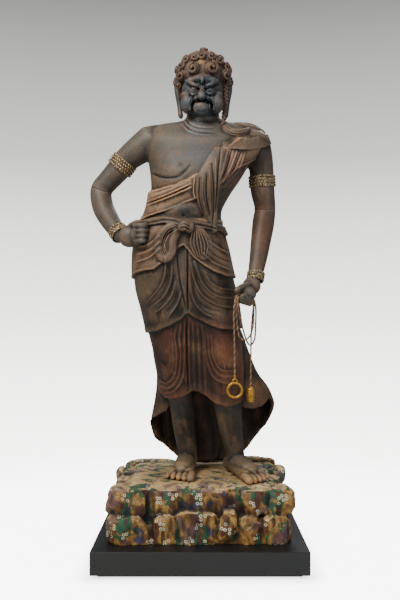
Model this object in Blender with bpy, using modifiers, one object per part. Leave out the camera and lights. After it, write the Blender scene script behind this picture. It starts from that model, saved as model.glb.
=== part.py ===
# A standing wooden guardian king on a carved rock base and a low dark plinth.
# Metres, +Z up, the figure faces -Y. The origin is on the floor, under the middle of the plinth.

import math

import bmesh
import bpy
import numpy as np
from mathutils import Matrix, Vector

# Driving sizes of the whole object, in metres
FIGURE_HEIGHT = 1.62
ROCK_WIDTH = 0.660
ROCK_DEPTH = 0.645
ROCK_HEIGHT = 0.198
PLINTH_WIDTH = 0.748
PLINTH_DEPTH = 0.784
PLINTH_BOARD_HEIGHT = 0.080
PLINTH_FOOT_HEIGHT = 0.010
PLINTH_FOOT_INSET = 0.025
PLINTH_EDGE_RADIUS = 0.0015
REST_GAP = 0.0003

# Ornaments of gilt metal
ARMLET_LENGTH = 0.044
ARMLET_THICKNESS = 0.006
BRACELET_LENGTH = 0.034
BRACELET_THICKNESS = 0.005
BAND_CLEARANCE = 0.0004
BAND_SIDES = 14

# The lasso: a braided cord with a ring at one end and a weight at the other
CORD_DIAMETER = 0.007
CORD_STEPS = 2
CORD_BEVEL_STEPS = 2
CORD_IN_FIST = 0.86
FIST_BORE_DIAMETER = 0.026
RING_RADIUS = 0.0262
RING_SECTION_RADIUS = 0.005
EYE_RADIUS = 0.0075
EYE_SECTION_RADIUS = 0.0028
FERRULE_LENGTH = 0.017
FERRULE_RADIUS = 0.0048
WEIGHT_LENGTH = 0.058
WEIGHT_RADIUS = 0.0158
FITTING_GAP = 0.0003

# The figure is laid out on a front chart of equal parts, as a carver squares up a block. The chart
# is what a viewer sees from straight ahead: "across" and "down" are counted in parts of the plane
# through the figure's middle, and "depth" is in parts too, negative towards the viewer.
PARTS_IN_HEIGHT = 421
CENTRE_LINE = 200
SOLE_LINE = 472
EYE_LINE = 316
PARTS_TO_VIEWER = 835
PART = FIGURE_HEIGHT / PARTS_IN_HEIGHT
FACE_LINE = 202
EAR_LINE = 203.3

# Fineness of the carved solids
PARTS_PER_CELL = 1.5
FIGURE_TRIANGLES = 4740
FINER_FACTOR = 0.0004
CELLS_ACROSS_ROCK = 73
ROCK_TRIANGLES = 1350

PLINTH_TOP = PLINTH_FOOT_HEIGHT + PLINTH_BOARD_HEIGHT
ROCK_FLOOR = PLINTH_TOP + REST_GAP
ROCK_TOP = ROCK_FLOOR + ROCK_HEIGHT
SOLE_LEVEL = ROCK_TOP + REST_GAP


def clear_scene():
    for obj in list(bpy.data.objects):
        bpy.data.objects.remove(obj)


def new_collection(name):
    collection = bpy.data.collections.new(name)
    bpy.context.scene.collection.children.link(collection)
    return collection


def finish_material(name, color, roughness, metallic=0.0):
    material = bpy.data.materials.new(name)
    material.use_nodes = True
    shader = material.node_tree.nodes["Principled BSDF"]
    shader.inputs["Base Color"].default_value = (*color, 1.0)
    shader.inputs["Roughness"].default_value = roughness
    shader.inputs["Metallic"].default_value = metallic
    return material


def place(across, down, depth):
    """A point seen at a spot of the chart, in parts from the middle of the soles."""
    spread = 1 + depth / PARTS_TO_VIEWER
    height = SOLE_LINE - EYE_LINE + (EYE_LINE - down) * spread
    return Vector(((across - CENTRE_LINE) * spread, depth, height))


def place_low(across, down, depth):
    """A point near the floor, measured square to it and not as seen."""
    return Vector((across - CENTRE_LINE, depth, SOLE_LINE - down))


def smooth_curve(rows, steps):
    """Rows of numbers joined by one smooth curve through every row, steps to a span."""
    rows = np.array(rows, float)
    before = np.vstack([2 * rows[0] - rows[1], rows, 2 * rows[-1] - rows[-2]])
    out = []
    for i in range(len(rows) - 1):
        a, b, c, d = before[i : i + 4]
        for t in np.arange(steps) / steps:
            out.append(
                b
                + 0.5 * t * (c - a)
                + t * t * (a - 2.5 * b + 2 * c - 0.5 * d)
                + t**3 * (-0.5 * a + 1.5 * b - 1.5 * c + 0.5 * d)
            )
    out.append(rows[-1])
    return np.array(out)


def add_loft(bm, rings):
    """Skin over rings of as many points each, closed at both ends."""
    made = [[bm.verts.new(point) for point in ring] for ring in rings]
    count = len(made[0])
    for low, high in zip(made, made[1:]):
        for i in range(count):
            j = (i + 1) % count
            bm.faces.new((low[i], low[j], high[j], high[i]))
    bm.faces.new(made[0][::-1])
    bm.faces.new(made[-1])


def add_tube(bm, stations, flat=1.0, facing=(0, -1, 0), sides=12, steps=4, placing=place):
    """A limb or a band through (across, down, depth, radius); flat is its thickness towards facing."""
    rows = []
    for across, down, depth, radius in stations:
        rows.append((*placing(across, down, depth), radius))
    rows = smooth_curve(rows, steps)
    spine = [Vector(row[:3]) for row in rows]
    radii = list(np.maximum(rows[:, 3], 0.3))
    # A rounded end is three smaller rings beyond each end of the spine.
    rings = []
    for i, point in enumerate(spine):
        along = (spine[min(i + 1, len(spine) - 1)] - spine[max(i - 1, 0)]).normalized()
        side = along.cross(Vector(facing)).normalized()
        front = side.cross(along).normalized()
        ends = [(0.0, 1.0)]
        if i == 0:
            ends = [(-0.95, 0.3), (-0.7, 0.7), (0.0, 1.0)]
        elif i == len(spine) - 1:
            ends = [(0.0, 1.0), (0.7, 0.7), (0.95, 0.3)]
        for reach, share in ends:
            centre = point + along * reach * radii[i] * flat
            ring = []
            for k in range(sides):
                turn = 2 * math.pi * k / sides
                across_ring = side * math.cos(turn) * radii[i] * share
                toward = front * math.sin(turn) * radii[i] * share * flat
                ring.append(centre + across_ring + toward)
            rings.append(ring)
    add_loft(bm, rings)


def add_ball(bm, across, down, depth, radii, turn=0.0, segments=12, rings=8):
    """An egg of three half-axes, turned about the depth axis by turn degrees."""
    matrix = Matrix.Translation(place(across, down, depth))
    matrix @= Matrix.Rotation(math.radians(turn), 4, "Y") @ Matrix.Diagonal((*radii, 1))
    bmesh.ops.create_uvsphere(
        bm, u_segments=segments, v_segments=rings, radius=1, matrix=matrix
    )


class Form:
    """An upright body given by sections (down, left, right, front, back), in parts."""

    def __init__(self, sections, squareness=0.9, thighs=()):
        table = smooth_curve(sections, 6)
        table = table[np.argsort(table[:, 0])]
        self.downs = table[:, 0]
        self.sides = table[:, 1:]
        self.squareness = squareness
        self.thighs = thighs

    def section(self, down):
        return [np.interp(down, self.downs, self.sides[:, k]) for k in range(4)]

    def spot(self, angle, down, out=0.0):
        """The chart spot at an angle from straight ahead, positive towards +X."""
        left, right, front, back = self.section(down)
        s, c = math.sin(angle), math.cos(angle)
        share_x = math.copysign(abs(s) ** self.squareness, s)
        share_y = math.copysign(abs(c) ** self.squareness, c)
        if self.thighs and c > 0:
            swell = np.interp(down, *self.thighs)
            share_y *= 1 - swell * math.cos(4 * angle) * c
        across = (left + right) / 2 + ((right - left) / 2 + out) * share_x
        depth = (front + back) / 2 - ((back - front) / 2 + out) * share_y
        return across, down, depth

    def point(self, angle, down, out=0.0):
        return place(*self.spot(angle, down, out))

    def angle_of(self, across, down):
        left, right, _, _ = self.section(down)
        share = (across - (left + right) / 2) / ((right - left) / 2)
        share = max(-1.0, min(1.0, share))
        return math.asin(math.copysign(abs(share) ** (1 / self.squareness), share))

    def edge(self, front_points, behind):
        """An edge round the form: chart points in front, and (degrees, down) pairs elsewhere."""
        pairs = [(math.degrees(self.angle_of(a, d)), d) for a, d in front_points]
        pairs += list(behind)
        pairs.sort()
        angles, downs = zip(*pairs)
        return lambda angle: float(
            np.interp(math.degrees(angle), angles, downs, period=360)
        )


def add_body(bm, form, top, bottom, out=0.0, sides=36, step=4.0):
    count = max(2, int((bottom - top) / step))
    rings = []
    for down in np.linspace(top, bottom, count + 1):
        angles = [2 * math.pi * k / sides for k in range(sides)]
        rings.append([form.point(angle, down, out) for angle in angles])
    add_loft(bm, rings)


def add_layer(bm, form, top, hem, out, lip=3.0, hollow=10.0, sides=72, steps=14):
    """Cloth over a form, from an upper edge to a hem; both may vary with the angle."""
    angles = [2 * math.pi * k / sides for k in range(sides)]
    upper = top if callable(top) else (lambda angle: top)
    rings = []

    def ring(share, offset, lift=0.0, inward=1.0):
        points = []
        for angle in angles:
            down = upper(angle) + (hem(angle) - upper(angle)) * share - lift
            point = form.point(angle, down, offset)
            left, right, front, back = form.section(down)
            axis = place((left + right) / 2, down, (front + back) / 2)
            points.append(axis.lerp(point, inward))
        return points

    rings.append(ring(0.0, out - lip, inward=0.3))
    rings.append(ring(0.0, out - lip))
    for share in np.linspace(0.0, 1.0, steps + 1)[1:-1]:
        rings.append(ring(share, out))
    rings.append(ring(1.0, out, lift=0.8))
    rings.append(ring(1.0, out - lip * 0.3))
    rings.append(ring(1.0, out - lip, lift=1.0))
    rings.append(ring(1.0, out - lip, lift=hollow))
    rings.append(ring(1.0, out - lip, lift=hollow, inward=0.3))
    add_loft(bm, rings)


TRUNK = Form(
    [
        (118, 187, 220, -15, 13),
        (121, 180, 226, -17, 15),
        (124, 163, 242, -19, 18),
        (128, 152, 253, -22, 22),
        (136, 147, 259, -28, 27),
        (147, 146, 260, -32, 30),
        (160, 148, 252, -37, 31),
        (172, 150, 245, -40, 31),
        (182, 151, 239, -39, 29),
        (192, 151, 232, -36, 28),
        (202, 149.5, 226, -34, 27),
        (212, 147, 221.5, -34, 28),
        (224, 141, 222, -36, 31),
        (240, 138, 226, -37, 35),
        (262, 137, 229, -37, 38),
    ],
    squareness=0.82,
)

HIPS = Form(
    [
        (212, 149, 219, -34, 29),
        (224, 144, 218, -37, 32),
        (236, 140, 221, -38, 36),
        (250, 137, 224.5, -39, 39),
        (265, 136.5, 227.5, -40, 41),
        (278, 137, 230.5, -40, 41),
        (291, 138.5, 234, -40, 40),
        (304, 142, 237, -39, 38),
        (317, 145, 239, -38, 36),
        (331, 148, 240.5, -37, 34),
        (353, 153.5, 243, -37, 32),
        (368, 156, 244, -36, 31),
        (382, 157.5, 244.5, -35, 30),
        (396, 159, 244, -34, 30),
        (410, 160, 242.5, -33, 30),
    ],
    squareness=0.88,
    thighs=((225, 270, 330, 380, 415), (0.0, 0.06, 0.16, 0.2, 0.16)),
)

TRAIN = Form(
    [
        (318, 150, 236, -20, 33),
        (336, 152, 243, -20, 37),
        (355, 154, 250, -18, 40),
        (373, 156, 257.5, -15, 43),
        (386, 156, 267, -13, 45),
        (398, 154.5, 272.5, -12, 46),
        (406, 153, 274, -12, 47),
        (422, 150, 272, -12, 48),
        (440, 149, 268, -12, 48),
        (464, 150, 262, -12, 46),
    ],
    squareness=0.95,
)


def add_trunk(bm):
    add_body(bm, TRUNK, 119, 262)
    add_tube(bm, [(203, 104, -4, 15), (203, 120, 0, 17), (203, 134, 2, 20)], sides=20)
    # Two creases of the neck, as low rolls
    for down, radius in ((121, 18.6), (127.5, 19.6)):
        add_ball(bm, 203, down, -0.5, (radius, radius * 0.95, 3.2), segments=24)
    # Muscles of the chest and the belly under the sash
    add_ball(bm, 172, 158, -23.5, (23, 11.4, 19), segments=20, rings=12)
    add_ball(bm, 226, 160, -23.5, (20, 11, 17), segments=20, rings=12)
    add_ball(bm, 184, 212, -22, (26, 16, 18))


def add_arms(bm):
    # The right arm is set akimbo, its fist at the hip.
    add_tube(
        bm,
        [
            (152, 141, 2, 16.5),
            (139, 150, 3, 14.5),
            (126.5, 160, 5, 12.6),
            (118.3, 170, 6.5, 12),
            (107.5, 182, 8, 11),
            (101, 191, 8.5, 10.8),
            (103, 207, 4, 10.8),
            (109, 219, -4, 10),
            (115, 228, -12, 9),
            (121.5, 235.5, -19, 8.2),
        ],
        sides=18,
    )
    # The left arm hangs, with the forearm brought a little forward.
    add_tube(
        bm,
        [
            (255, 144, 2, 15.5),
            (259.5, 157, 2, 13.2),
            (261.5, 172, 2, 12.2),
            (262.5, 190, 3, 12.2),
            (265, 208, 4, 10.6),
            (263.5, 222, 2, 11.2),
            (261, 240, -5, 10.2),
            (258, 260, -13, 8.8),
            (255, 276, -20, 7.4),
        ],
        sides=18,
    )


def add_finger(bm, points, radius):
    stations = [(*point, radius) for point in points]
    add_tube(bm, stations, sides=8, steps=3)


def add_fists(bm):
    # Right fist: four fingers stacked one above the other, the thumb across their top.
    add_ball(bm, 130.5, 236, -25, (12, 10, 11), turn=-25)
    add_ball(bm, 137, 234.5, -28, (8, 9.5, 11))
    for k in range(4):
        down = 225.5 + 5.1 * k
        reach = 146.8 - 0.8 * abs(k - 1)
        add_finger(
            bm,
            [(135, down, -34), (142.5, down, -38), (reach, down - 0.5, -33)],
            3.0 - 0.12 * k,
        )
    add_finger(bm, [(130, 226, -30), (137, 222.5, -32), (144, 223.5, -31)], 3.0)
    # Left fist, closed on the cord: its bore runs from the thumb's side to the little finger's.
    add_ball(bm, 251.5, 286, -24, (9, 8, 9.5), turn=35)
    add_ball(bm, 246.5, 292.5, -31, (10, 7, 7.5), turn=22)
    start, end = FIST_BORE
    for k in range(4):
        middle = Vector(start).lerp(Vector(end), 0.23 + 0.2 * k)
        knuckle = middle + Vector((1.0, 0.5, -7.5))
        bend = middle + Vector((-0.6, 6.2 - 0.4 * k, -2.0))
        tip = middle + Vector((-1.5, 3.0, 6.0))
        add_finger(bm, [knuckle, bend, tip], 2.8)
    add_finger(bm, [(250, 284, -29), (242.5, 286.5, -36), (237, 290, -41)], 3.1)


# The bore of the left fist, as (across, down, depth) on the thumb's side and on the other
FIST_BORE = ((238.2, 294.2, -37.5), (253.0, 300.2, -23.5))


def add_legs(bm):
    for stations in (
        [
            (179, 385, -2, 15),
            (181.3, 399, 0, 13),
            (184.5, 430, 2, 11),
            (187.5, 450, 3, 9.4),
            (188, 462, 4, 9.6),
        ],
        [
            (226, 385, -8, 15.5),
            (228, 408, -8, 13.6),
            (231, 430, -7, 11.6),
            (234.5, 450, -6, 9.6),
            (235.5, 462, -5, 9.8),
        ],
    ):
        add_tube(bm, stations, sides=16)


def add_foot(bm, heel, toes, spread):
    """A bare foot: heel and toe line as (across, depth), spread is the toe line's half width."""
    heel, toes = Vector(heel), Vector(toes)
    ahead = (toes - heel).normalized()
    aside = Vector((-ahead.y, ahead.x))
    if aside.x < 0:
        aside = -aside

    def at(forward, sideways, down, radius):
        spot = heel + ahead * forward + aside * sideways
        return (spot.x, down, spot.y, radius)

    length = (toes - heel).length
    add_tube(
        bm,
        [
            at(0, 0, SOLE_LINE - 8, 8.5),
            at(length * 0.25, 0, SOLE_LINE - 11, 9.5),
            at(length * 0.5, 0, SOLE_LINE - 9, 9.5),
            at(length * 0.72, 0, SOLE_LINE - 6, 9.0),
        ],
        sides=14,
        placing=place_low,
    )
    for sideways in (-0.5, 0.0, 0.5):
        add_tube(
            bm,
            [
                at(length * 0.3, sideways * spread * 0.5, SOLE_LINE - 8, 6.5),
                at(length * 0.85, sideways * spread * 1.1, SOLE_LINE - 4.0, 5.4),
            ],
            sides=10,
            placing=place_low,
        )
    return at, length


def add_feet(bm):
    # heel, toe line, half width of the toe line, and the side on which the great toe lies
    feet = (((188, 13), (180, -40), 14, 1), ((231, 4), (254, -48), 14, -1))
    for heel, toes, spread, inner in feet:
        at, length = add_foot(bm, heel, toes, spread)
        for k in range(5):
            sideways = inner * spread * (0.86 - 0.42 * k)
            forward = length + (7.0, 7.5, 6.0, 3.0, -1.0)[k]
            radius = (4.0, 3.0, 2.8, 2.7, 2.5)[k]
            root = at(forward - 12, sideways * 0.95, SOLE_LINE - 4.6, radius)
            knuckle = at(forward - 5, sideways, SOLE_LINE - 4.2, radius)
            tip = at(forward, sideways, SOLE_LINE - 2.6, radius * 0.9)
            add_tube(bm, [root, knuckle, tip], sides=8, placing=place_low)


def add_clothes(bm):
    # The innermost skirt, with a lobe over each knee
    knee_hem = HIPS.edge(
        [
            (160, 392), (165, 398), (174, 399.5), (185, 396), (192.5, 391),
            (199, 392), (206, 396), (214, 403), (226, 407.5), (238, 404),
        ],
        [(90, 398), (135, 392), (180, 390), (-135, 388), (-90, 388)],
    )
    add_layer(bm, HIPS, 222, knee_hem, 0.0, hollow=9)
    # The middle skirt: two lobes parted under the centre fold
    thigh_hem = HIPS.edge(
        [
            (146, 333), (158.5, 331), (171, 326), (181.5, 320), (187.5, 313),
            (195, 318), (208, 325), (219, 329), (233, 330),
        ],
        [(90, 328), (135, 326), (180, 326), (-135, 328), (-90, 333)],
    )
    add_layer(bm, HIPS, 220, thigh_hem, 2.6)
    # The short overfall below the belt
    hip_hem = HIPS.edge(
        [
            (133, 277), (140, 273), (148, 270.5), (156, 269.5), (162.5, 264), (172, 254),
            (183, 245), (192, 257), (201, 265), (211, 271.5), (223, 276.5), (231, 277.5),
        ],
        [(90, 276), (135, 280), (180, 283), (-135, 281), (-90, 278)],
    )
    add_layer(bm, HIPS, 218, hip_hem, 5.0)
    # The train: longer behind, and thrown out on the left side
    train_hem = TRAIN.edge(
        [(166, 411), (176, 372), (220, 372), (243, 408), (253, 409), (262, 406.5)],
        [
            (72, 397), (90, 403), (104, 416), (120, 430), (140, 448), (160, 461), (180, 464),
            (-160, 461), (-140, 451), (-118, 437), (-100, 427), (-84, 421),
        ],
    )
    add_shell(bm, TRAIN, 330, train_hem, 2.6, roof=368)
    add_belt(bm)


def add_shell(bm, form, top, hem, thickness, roof, sides=72, steps=12):
    """A hanging sheet of cloth, hollow under a roof at that line."""
    angles = [2 * math.pi * k / sides for k in range(sides)]

    def ring(line, offset, inward=1.0):
        points = []
        for angle in angles:
            down = line(angle)
            left, right, front, back = form.section(down)
            axis = place((left + right) / 2, down, (front + back) / 2)
            points.append(axis.lerp(form.point(angle, down, offset), inward))
        return points

    rings = [ring(lambda a: top, 0.0, inward=0.3), ring(lambda a: top, 0.0)]
    for share in np.linspace(0.0, 1.0, steps + 1)[1:]:
        rings.append(ring(lambda a: top + (hem(a) - top) * share, 0.0))
    for share in np.linspace(0.0, 1.0, steps + 1)[1:]:
        rings.append(
            ring(lambda a: hem(a) + (min(roof, hem(a)) - hem(a)) * share, -thickness)
        )
    rings.append(ring(lambda a: min(roof, hem(a)), -thickness, inward=0.3))
    add_loft(bm, rings)


def hugging(form, chart_points, out, radius):
    """Stations of a band that lies on the front of a form."""
    stations = []
    for across, down in chart_points:
        stations.append((*form.spot(form.angle_of(across, down), down, out), radius))
    return stations


def add_belt(bm):
    belt_top = HIPS.edge([(145, 219), (165, 215.5), (185, 218), (205, 222), (218, 225)],
                         [(90, 226), (180, 222), (-90, 221)])
    belt_low = HIPS.edge([(145, 227), (165, 223), (185, 226), (205, 229), (218, 232)],
                         [(90, 233), (180, 229), (-90, 229)])
    add_layer(bm, HIPS, belt_top, belt_low, 7.0, lip=4, hollow=2, steps=4)
    # The knot, its hanging loop and the pleated end
    add_ball(bm, 184, 226.5, -46, (8, 6, 5.5), turn=-8)
    add_ball(bm, 189, 226, -46, (5, 5, 5))
    loop = [(180, 225.5), (171, 227), (163.5, 235), (160.5, 246), (163, 256),
            (168.5, 258.5), (173, 252), (174.5, 241), (178, 230)]
    add_tube(bm, hugging(HIPS, loop, 6.5, 3.8), flat=0.8, sides=10)
    leaf = [(190, 228, 4.5), (195, 234, 8), (198.5, 244, 10), (201, 252, 9), (203, 257.5, 5)]
    stations = []
    for across, down, radius in leaf:
        stations += hugging(HIPS, [(across, down)], 7.0, radius)
    add_tube(bm, stations, flat=0.32, sides=14)
    # The gathered end tucked in at the left hip
    add_tube(bm, [(214, 229, -26, 4), (220, 230, -18, 4.4), (226, 234, -12, 2.4)], sides=10)


def add_sash(bm):
    upper = TRUNK.edge(
        [(151.5, 190), (161, 187.5), (176, 183), (188, 177.5), (199, 171), (209, 162),
         (222, 146), (236, 134)],
        [(80, 124), (110, 126), (150, 142), (180, 160), (-150, 178), (-110, 190)],
    )
    lower = TRUNK.edge(
        [(143, 221), (153, 215.5), (166, 211.5), (178, 206.5), (192, 200.5), (206, 192),
         (219, 184), (236, 168)],
        [(80, 160), (110, 164), (150, 184), (180, 200), (-150, 212), (-110, 222)],
    )
    add_layer(bm, TRUNK, upper, lower, 3.2, lip=3.5, hollow=2, steps=8)
    # The end of the sash, falling over the front of the chest
    fall = [(220, 150, 7), (213, 165, 9.5), (207, 182, 11.5), (205.5, 200, 10), (208, 216, 6.5),
            (211, 232, 3.0)]
    stations = []
    for across, down, radius in fall:
        stations += hugging(TRUNK, [(across, down)], 4.5, radius)
    add_tube(bm, stations, flat=0.3, sides=14)
    add_shoulder_cloth(bm)


def add_panel(bm, upper, lower, thickness, core, rows=6):
    """A stiff cloth from an upper to a lower edge of as many spots, thickened towards a core."""
    upper = smooth_curve([place(*spot) for spot in upper], 4)
    lower = smooth_curve([place(*spot) for spot in lower], 4)
    centre = place(*core)
    outer = [
        [Vector(a).lerp(Vector(b), row / rows) for a, b in zip(upper, lower)]
        for row in range(rows + 1)
    ]
    rings = []
    for column in zip(*outer):
        inner = [point + (centre - point).normalized() * thickness for point in column]
        rings.append(list(column) + inner[::-1])
    add_loft(bm, rings)


def add_shoulder_cloth(bm):
    # A flap over the left shoulder, and the rolled cloth lying on it
    add_ball(bm, 247, 141, -1, (23, 21, 12), turn=4)
    add_panel(
        bm,
        [(226, 136, -25), (240, 138, -27), (254, 137, -23), (264, 134.5, -13), (268, 134, 2),
         (262, 135, 16), (246, 137, 23)],
        [(222.2, 146.3, -33), (240.7, 149.5, -35), (255, 149, -30), (266, 147, -18),
         (271.5, 143.5, 2), (267, 147, 18), (246, 152, 28)],
        3.5,
        (246, 150, 0),
    )
    add_tube(
        bm,
        [(223.5, 126, -14, 3), (227, 130, -21, 4), (235, 133, -25, 4.4), (243, 132.5, -23, 4),
         (248.5, 130, -16, 3)],
        sides=10,
    )
    add_tube(bm, [(230, 128, -9, 4), (244, 128, -8, 4.6), (257, 130.5, -5, 3.6)], sides=10)
    add_tube(bm, [(234, 126, 4, 4), (250, 128, 7, 5), (262, 133, 6, 3.4)], sides=10)
    add_ball(bm, 236, 125.5, -8, (3.2, 3, 3.2))
    add_ball(bm, 242.5, 125.5, -5, (2.2, 3, 3))


def add_head(bm):
    add_ball(bm, 203, 84, -3, (22, 25, 25), segments=20, rings=14)
    add_ball(bm, 202.3, 103, -11, (19.6, 17.5, 16.6), segments=18, rings=12)
    add_ball(bm, 202.3, 91, -13, (20, 15, 16), segments=18, rings=12)
    # The nose, its wings and the knot between the brows
    add_tube(
        bm,
        [(FACE_LINE, 86, -28, 2.2), (FACE_LINE, 92, -32, 2.8), (FACE_LINE, 96.5, -35.5, 3.6)],
        sides=10,
    )
    add_ball(bm, FACE_LINE, 81.5, -29, (3.2, 3.2, 3.6))
    # The chin
    add_ball(bm, FACE_LINE, 112.5, -26.5, (7.6, 5.5, 6))
    for side in (-1, 1):

        def beside(distance, down, depth, radius, line=FACE_LINE):
            return (line + side * distance, down, depth, radius)

        add_ball(bm, FACE_LINE + side * 13.5, 101, -21, (7.5, 7.5, 8.5))
        add_ball(bm, FACE_LINE + side * 5.6, 98.6, -30.5, (3.4, 3, 2.8))
        add_ball(bm, FACE_LINE + side * 7.8, 91, -26.5, (4.6, 4, 3.4))
        add_tube(bm, [beside(3.6, 84.6, -30, 2.4), beside(8.5, 82.4, -30, 2.7),
                      beside(16.5, 79.5, -24, 2.2)], sides=8)
        add_tube(bm, [beside(-0.5, 102.6, -31.5, 1.8), beside(5, 103.8, -30.5, 1.8),
                      beside(9.6, 108.5, -26.5, 1.5)], sides=8)
        add_tube(bm, [beside(-0.5, 106.8, -31, 2.3), beside(4, 107.4, -30, 2.1),
                      beside(7.4, 110, -27, 1.7)], sides=8)
        # A long ear
        add_tube(
            bm,
            [beside(25, 83, 0, 2.8, EAR_LINE), beside(25.8, 92, 1, 3.4, EAR_LINE),
             beside(23.8, 105, 1, 2.4, EAR_LINE), beside(22.3, 115.5, -1, 2.8, EAR_LINE)],
            flat=1.3, sides=10,
        )
    # The plait in front of the left ear
    for k in range(10):
        share = k / 9
        add_ball(bm, 225.8 - 2.6 * share**2, 85 + 39 * share, -9 - 8 * share, (2.8, 3, 3))


SKULL = Vector((203.3, 80, -2))
SKULL_HALF = Vector((25.3, 28.5, 26.6))
# Curls seen from the front: across, down and size
FRONT_CURLS = (
    (192.5, 68.3, 6.6), (213.6, 67.6, 7.6), (180.4, 76.4, 5.8), (226.4, 75.3, 6.0),
    (181.5, 66.5, 5.2), (188.5, 59.5, 5.2), (201.5, 56.5, 5.6), (212.5, 57.2, 5.4),
    (222.0, 62.5, 5.6),
)
# Rows of curls over the top, sides and back: height angle, number, first and last direction, size
CURL_ROWS = (
    (74, 3, 0, 240, 5.6), (52, 5, 100, 260, 6.2), (22, 7, 98, 262, 6.4), (-8, 7, 96, 264, 6.2),
    (-34, 6, 100, 260, 6.0), (-56, 4, 120, 240, 5.6),
)


def curl_places():
    """(across, down, depth), size and outward direction of every curl of hair."""
    found = []
    for across, down, radius in FRONT_CURLS:
        x = (across - SKULL.x) / SKULL_HALF.x
        z = (SKULL.y - down) / SKULL_HALF.z
        y = -math.sqrt(max(0.02, 1 - x * x - z * z))
        found.append(((across, down, SKULL.z + SKULL_HALF.y * y), radius, Vector((x, y, z))))
    for height, count, first, last, radius in CURL_ROWS:
        for k in range(count):
            direction = math.radians(first + (last - first) * k / (count - 1))
            rise = math.radians(height)
            outward = Vector((
                math.cos(rise) * math.sin(direction),
                -math.cos(rise) * math.cos(direction),
                math.sin(rise),
            ))
            spot = (
                SKULL.x + SKULL_HALF.x * outward.x,
                SKULL.y - SKULL_HALF.z * outward.z,
                SKULL.z + SKULL_HALF.y * outward.y,
            )
            found.append((spot, radius, outward))
    return found


def add_curl(bm, spot, radius, outward):
    """A snail curl: a coil standing proud of the head, with a knob in the middle."""
    matrix = Matrix.Translation(place(*spot)) @ outward.to_track_quat("Z", "Y").to_matrix().to_4x4()
    coil = 0.62 * radius
    section = 0.42 * radius
    rings = []
    for k in range(13):
        turn = 2 * math.pi * k / 12 * 0.93
        middle = Vector((math.cos(turn), math.sin(turn), 0)) * coil
        ring = []
        for j in range(6):
            around = 2 * math.pi * j / 6
            reach = middle.normalized() * math.cos(around) * section
            ring.append(matrix @ (middle + reach + Vector((0, 0, math.sin(around) * section))))
        rings.append(ring)
    add_loft(bm, rings)
    knob = Matrix.Diagonal((radius * 0.34, radius * 0.34, radius * 0.5, 1))
    bmesh.ops.create_icosphere(bm, subdivisions=1, radius=1, matrix=matrix @ knob)


def add_hair(bm):
    add_ball(bm, 203.3, 78.5, -1, (24, 26.5, 24.8), segments=20, rings=14)
    add_ball(bm, 203.5, 95, 6, (21.5, 18, 18), segments=18, rings=12)
    for spot, radius, outward in curl_places():
        add_curl(bm, spot, radius, outward)


def fold_family(first, last, count, width, height):
    """Folds between two guide lines of as many chart points, shared out evenly."""
    strokes = []
    for k in range(count):
        share = k / max(1, count - 1)
        line = [
            (a[0] + (b[0] - a[0]) * share, a[1] + (b[1] - a[1]) * share)
            for a, b in zip(first, last)
        ]
        strokes.append((line, width, height))
    return strokes


def front_folds():
    """Ridges (height above 0) and cuts (below 0) of the front, as (chart line, width, height)."""
    folds = []
    # Middle skirt, sweeping out from the centre on both sides
    folds += fold_family(
        [(170, 272), (166, 287), (157, 299), (146, 307)],
        [(179, 296), (176, 304), (172, 312), (166, 319)], 4, 1.7, 1.5)
    folds += fold_family(
        [(195, 262), (203, 281), (216, 295), (232, 299)],
        [(190, 285), (194, 300), (202, 310), (217, 315)], 4, 1.7, 1.5)
    folds += fold_family([(186.5, 250), (186, 275), (186, 303)],
                         [(190, 262), (190, 285), (192, 306)], 2, 1.2, -1.6)
    folds += fold_family([(176, 262), (178, 285), (187, 311)],
                         [(182, 258), (182, 285), (186, 300)], 2, 1.6, 1.0)
    # Inner skirt: nested bows under each knee
    folds += fold_family(
        [(178, 326), (180, 352), (177, 371), (168, 379), (160, 371)],
        [(184.5, 322), (185.5, 352), (184, 380), (175, 391), (162, 387)], 3, 1.7, 1.5)
    folds += fold_family(
        [(213, 338), (214, 357), (219, 369), (228, 373), (236, 369)],
        [(204, 332), (207, 354), (212, 375), (224, 388), (238, 385)], 3, 1.7, 1.5)
    # The gathered centre of the inner skirt
    folds += fold_family([(190, 322), (191, 350), (193, 388)],
                         [(201, 326), (203, 350), (206, 392)], 3, 1.5, 1.7)
    folds += fold_family([(187.5, 322), (188, 350), (189, 388)],
                         [(198, 326), (199.5, 350), (202, 396)], 3, 1.1, -2.0)
    # Overfall: short slanting folds at both hips
    folds += fold_family([(158, 237), (150, 242), (140, 247)],
                         [(160, 251), (149, 257), (137, 262)], 3, 1.6, 1.3)
    folds += fold_family([(210, 242), (219, 248), (230, 257)],
                         [(199, 250), (212, 261), (230, 270)], 2, 1.7, 1.4)
    # Sash: pleats along it, and upright pleats of its falling end
    folds += fold_family([(150, 197), (170, 191.5), (188, 185)],
                         [(147, 206), (170, 199), (191, 190)], 3, 1.3, 1.1)
    folds += fold_family([(202, 170), (197, 185), (199, 203)],
                         [(215, 162), (213, 185), (212, 222)], 4, 1.2, 1.2)
    folds += fold_family([(231, 150), (225, 162), (221, 176)],
                         [(240, 152), (234, 163), (224, 182)], 2, 1.5, 1.2)
    # Ribs of the knot's loop and end
    folds += fold_family([(193, 232), (193, 243), (197, 254)],
                         [(203, 233), (207, 244), (206, 254)], 4, 0.9, 0.9)
    # The lower line of the right breast
    folds += fold_family([(153, 171), (166, 177), (179, 176), (188, 169)],
                         [(153, 171), (166, 177), (179, 176), (188, 169)], 1, 1.6, -1.0)
    # The falling fold between the knees ends in a point.
    folds += fold_family([(203, 398), (207, 406), (209.5, 414)],
                         [(203, 398), (207, 406), (209.5, 414)], 1, 3.0, 1.5)
    return folds


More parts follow.
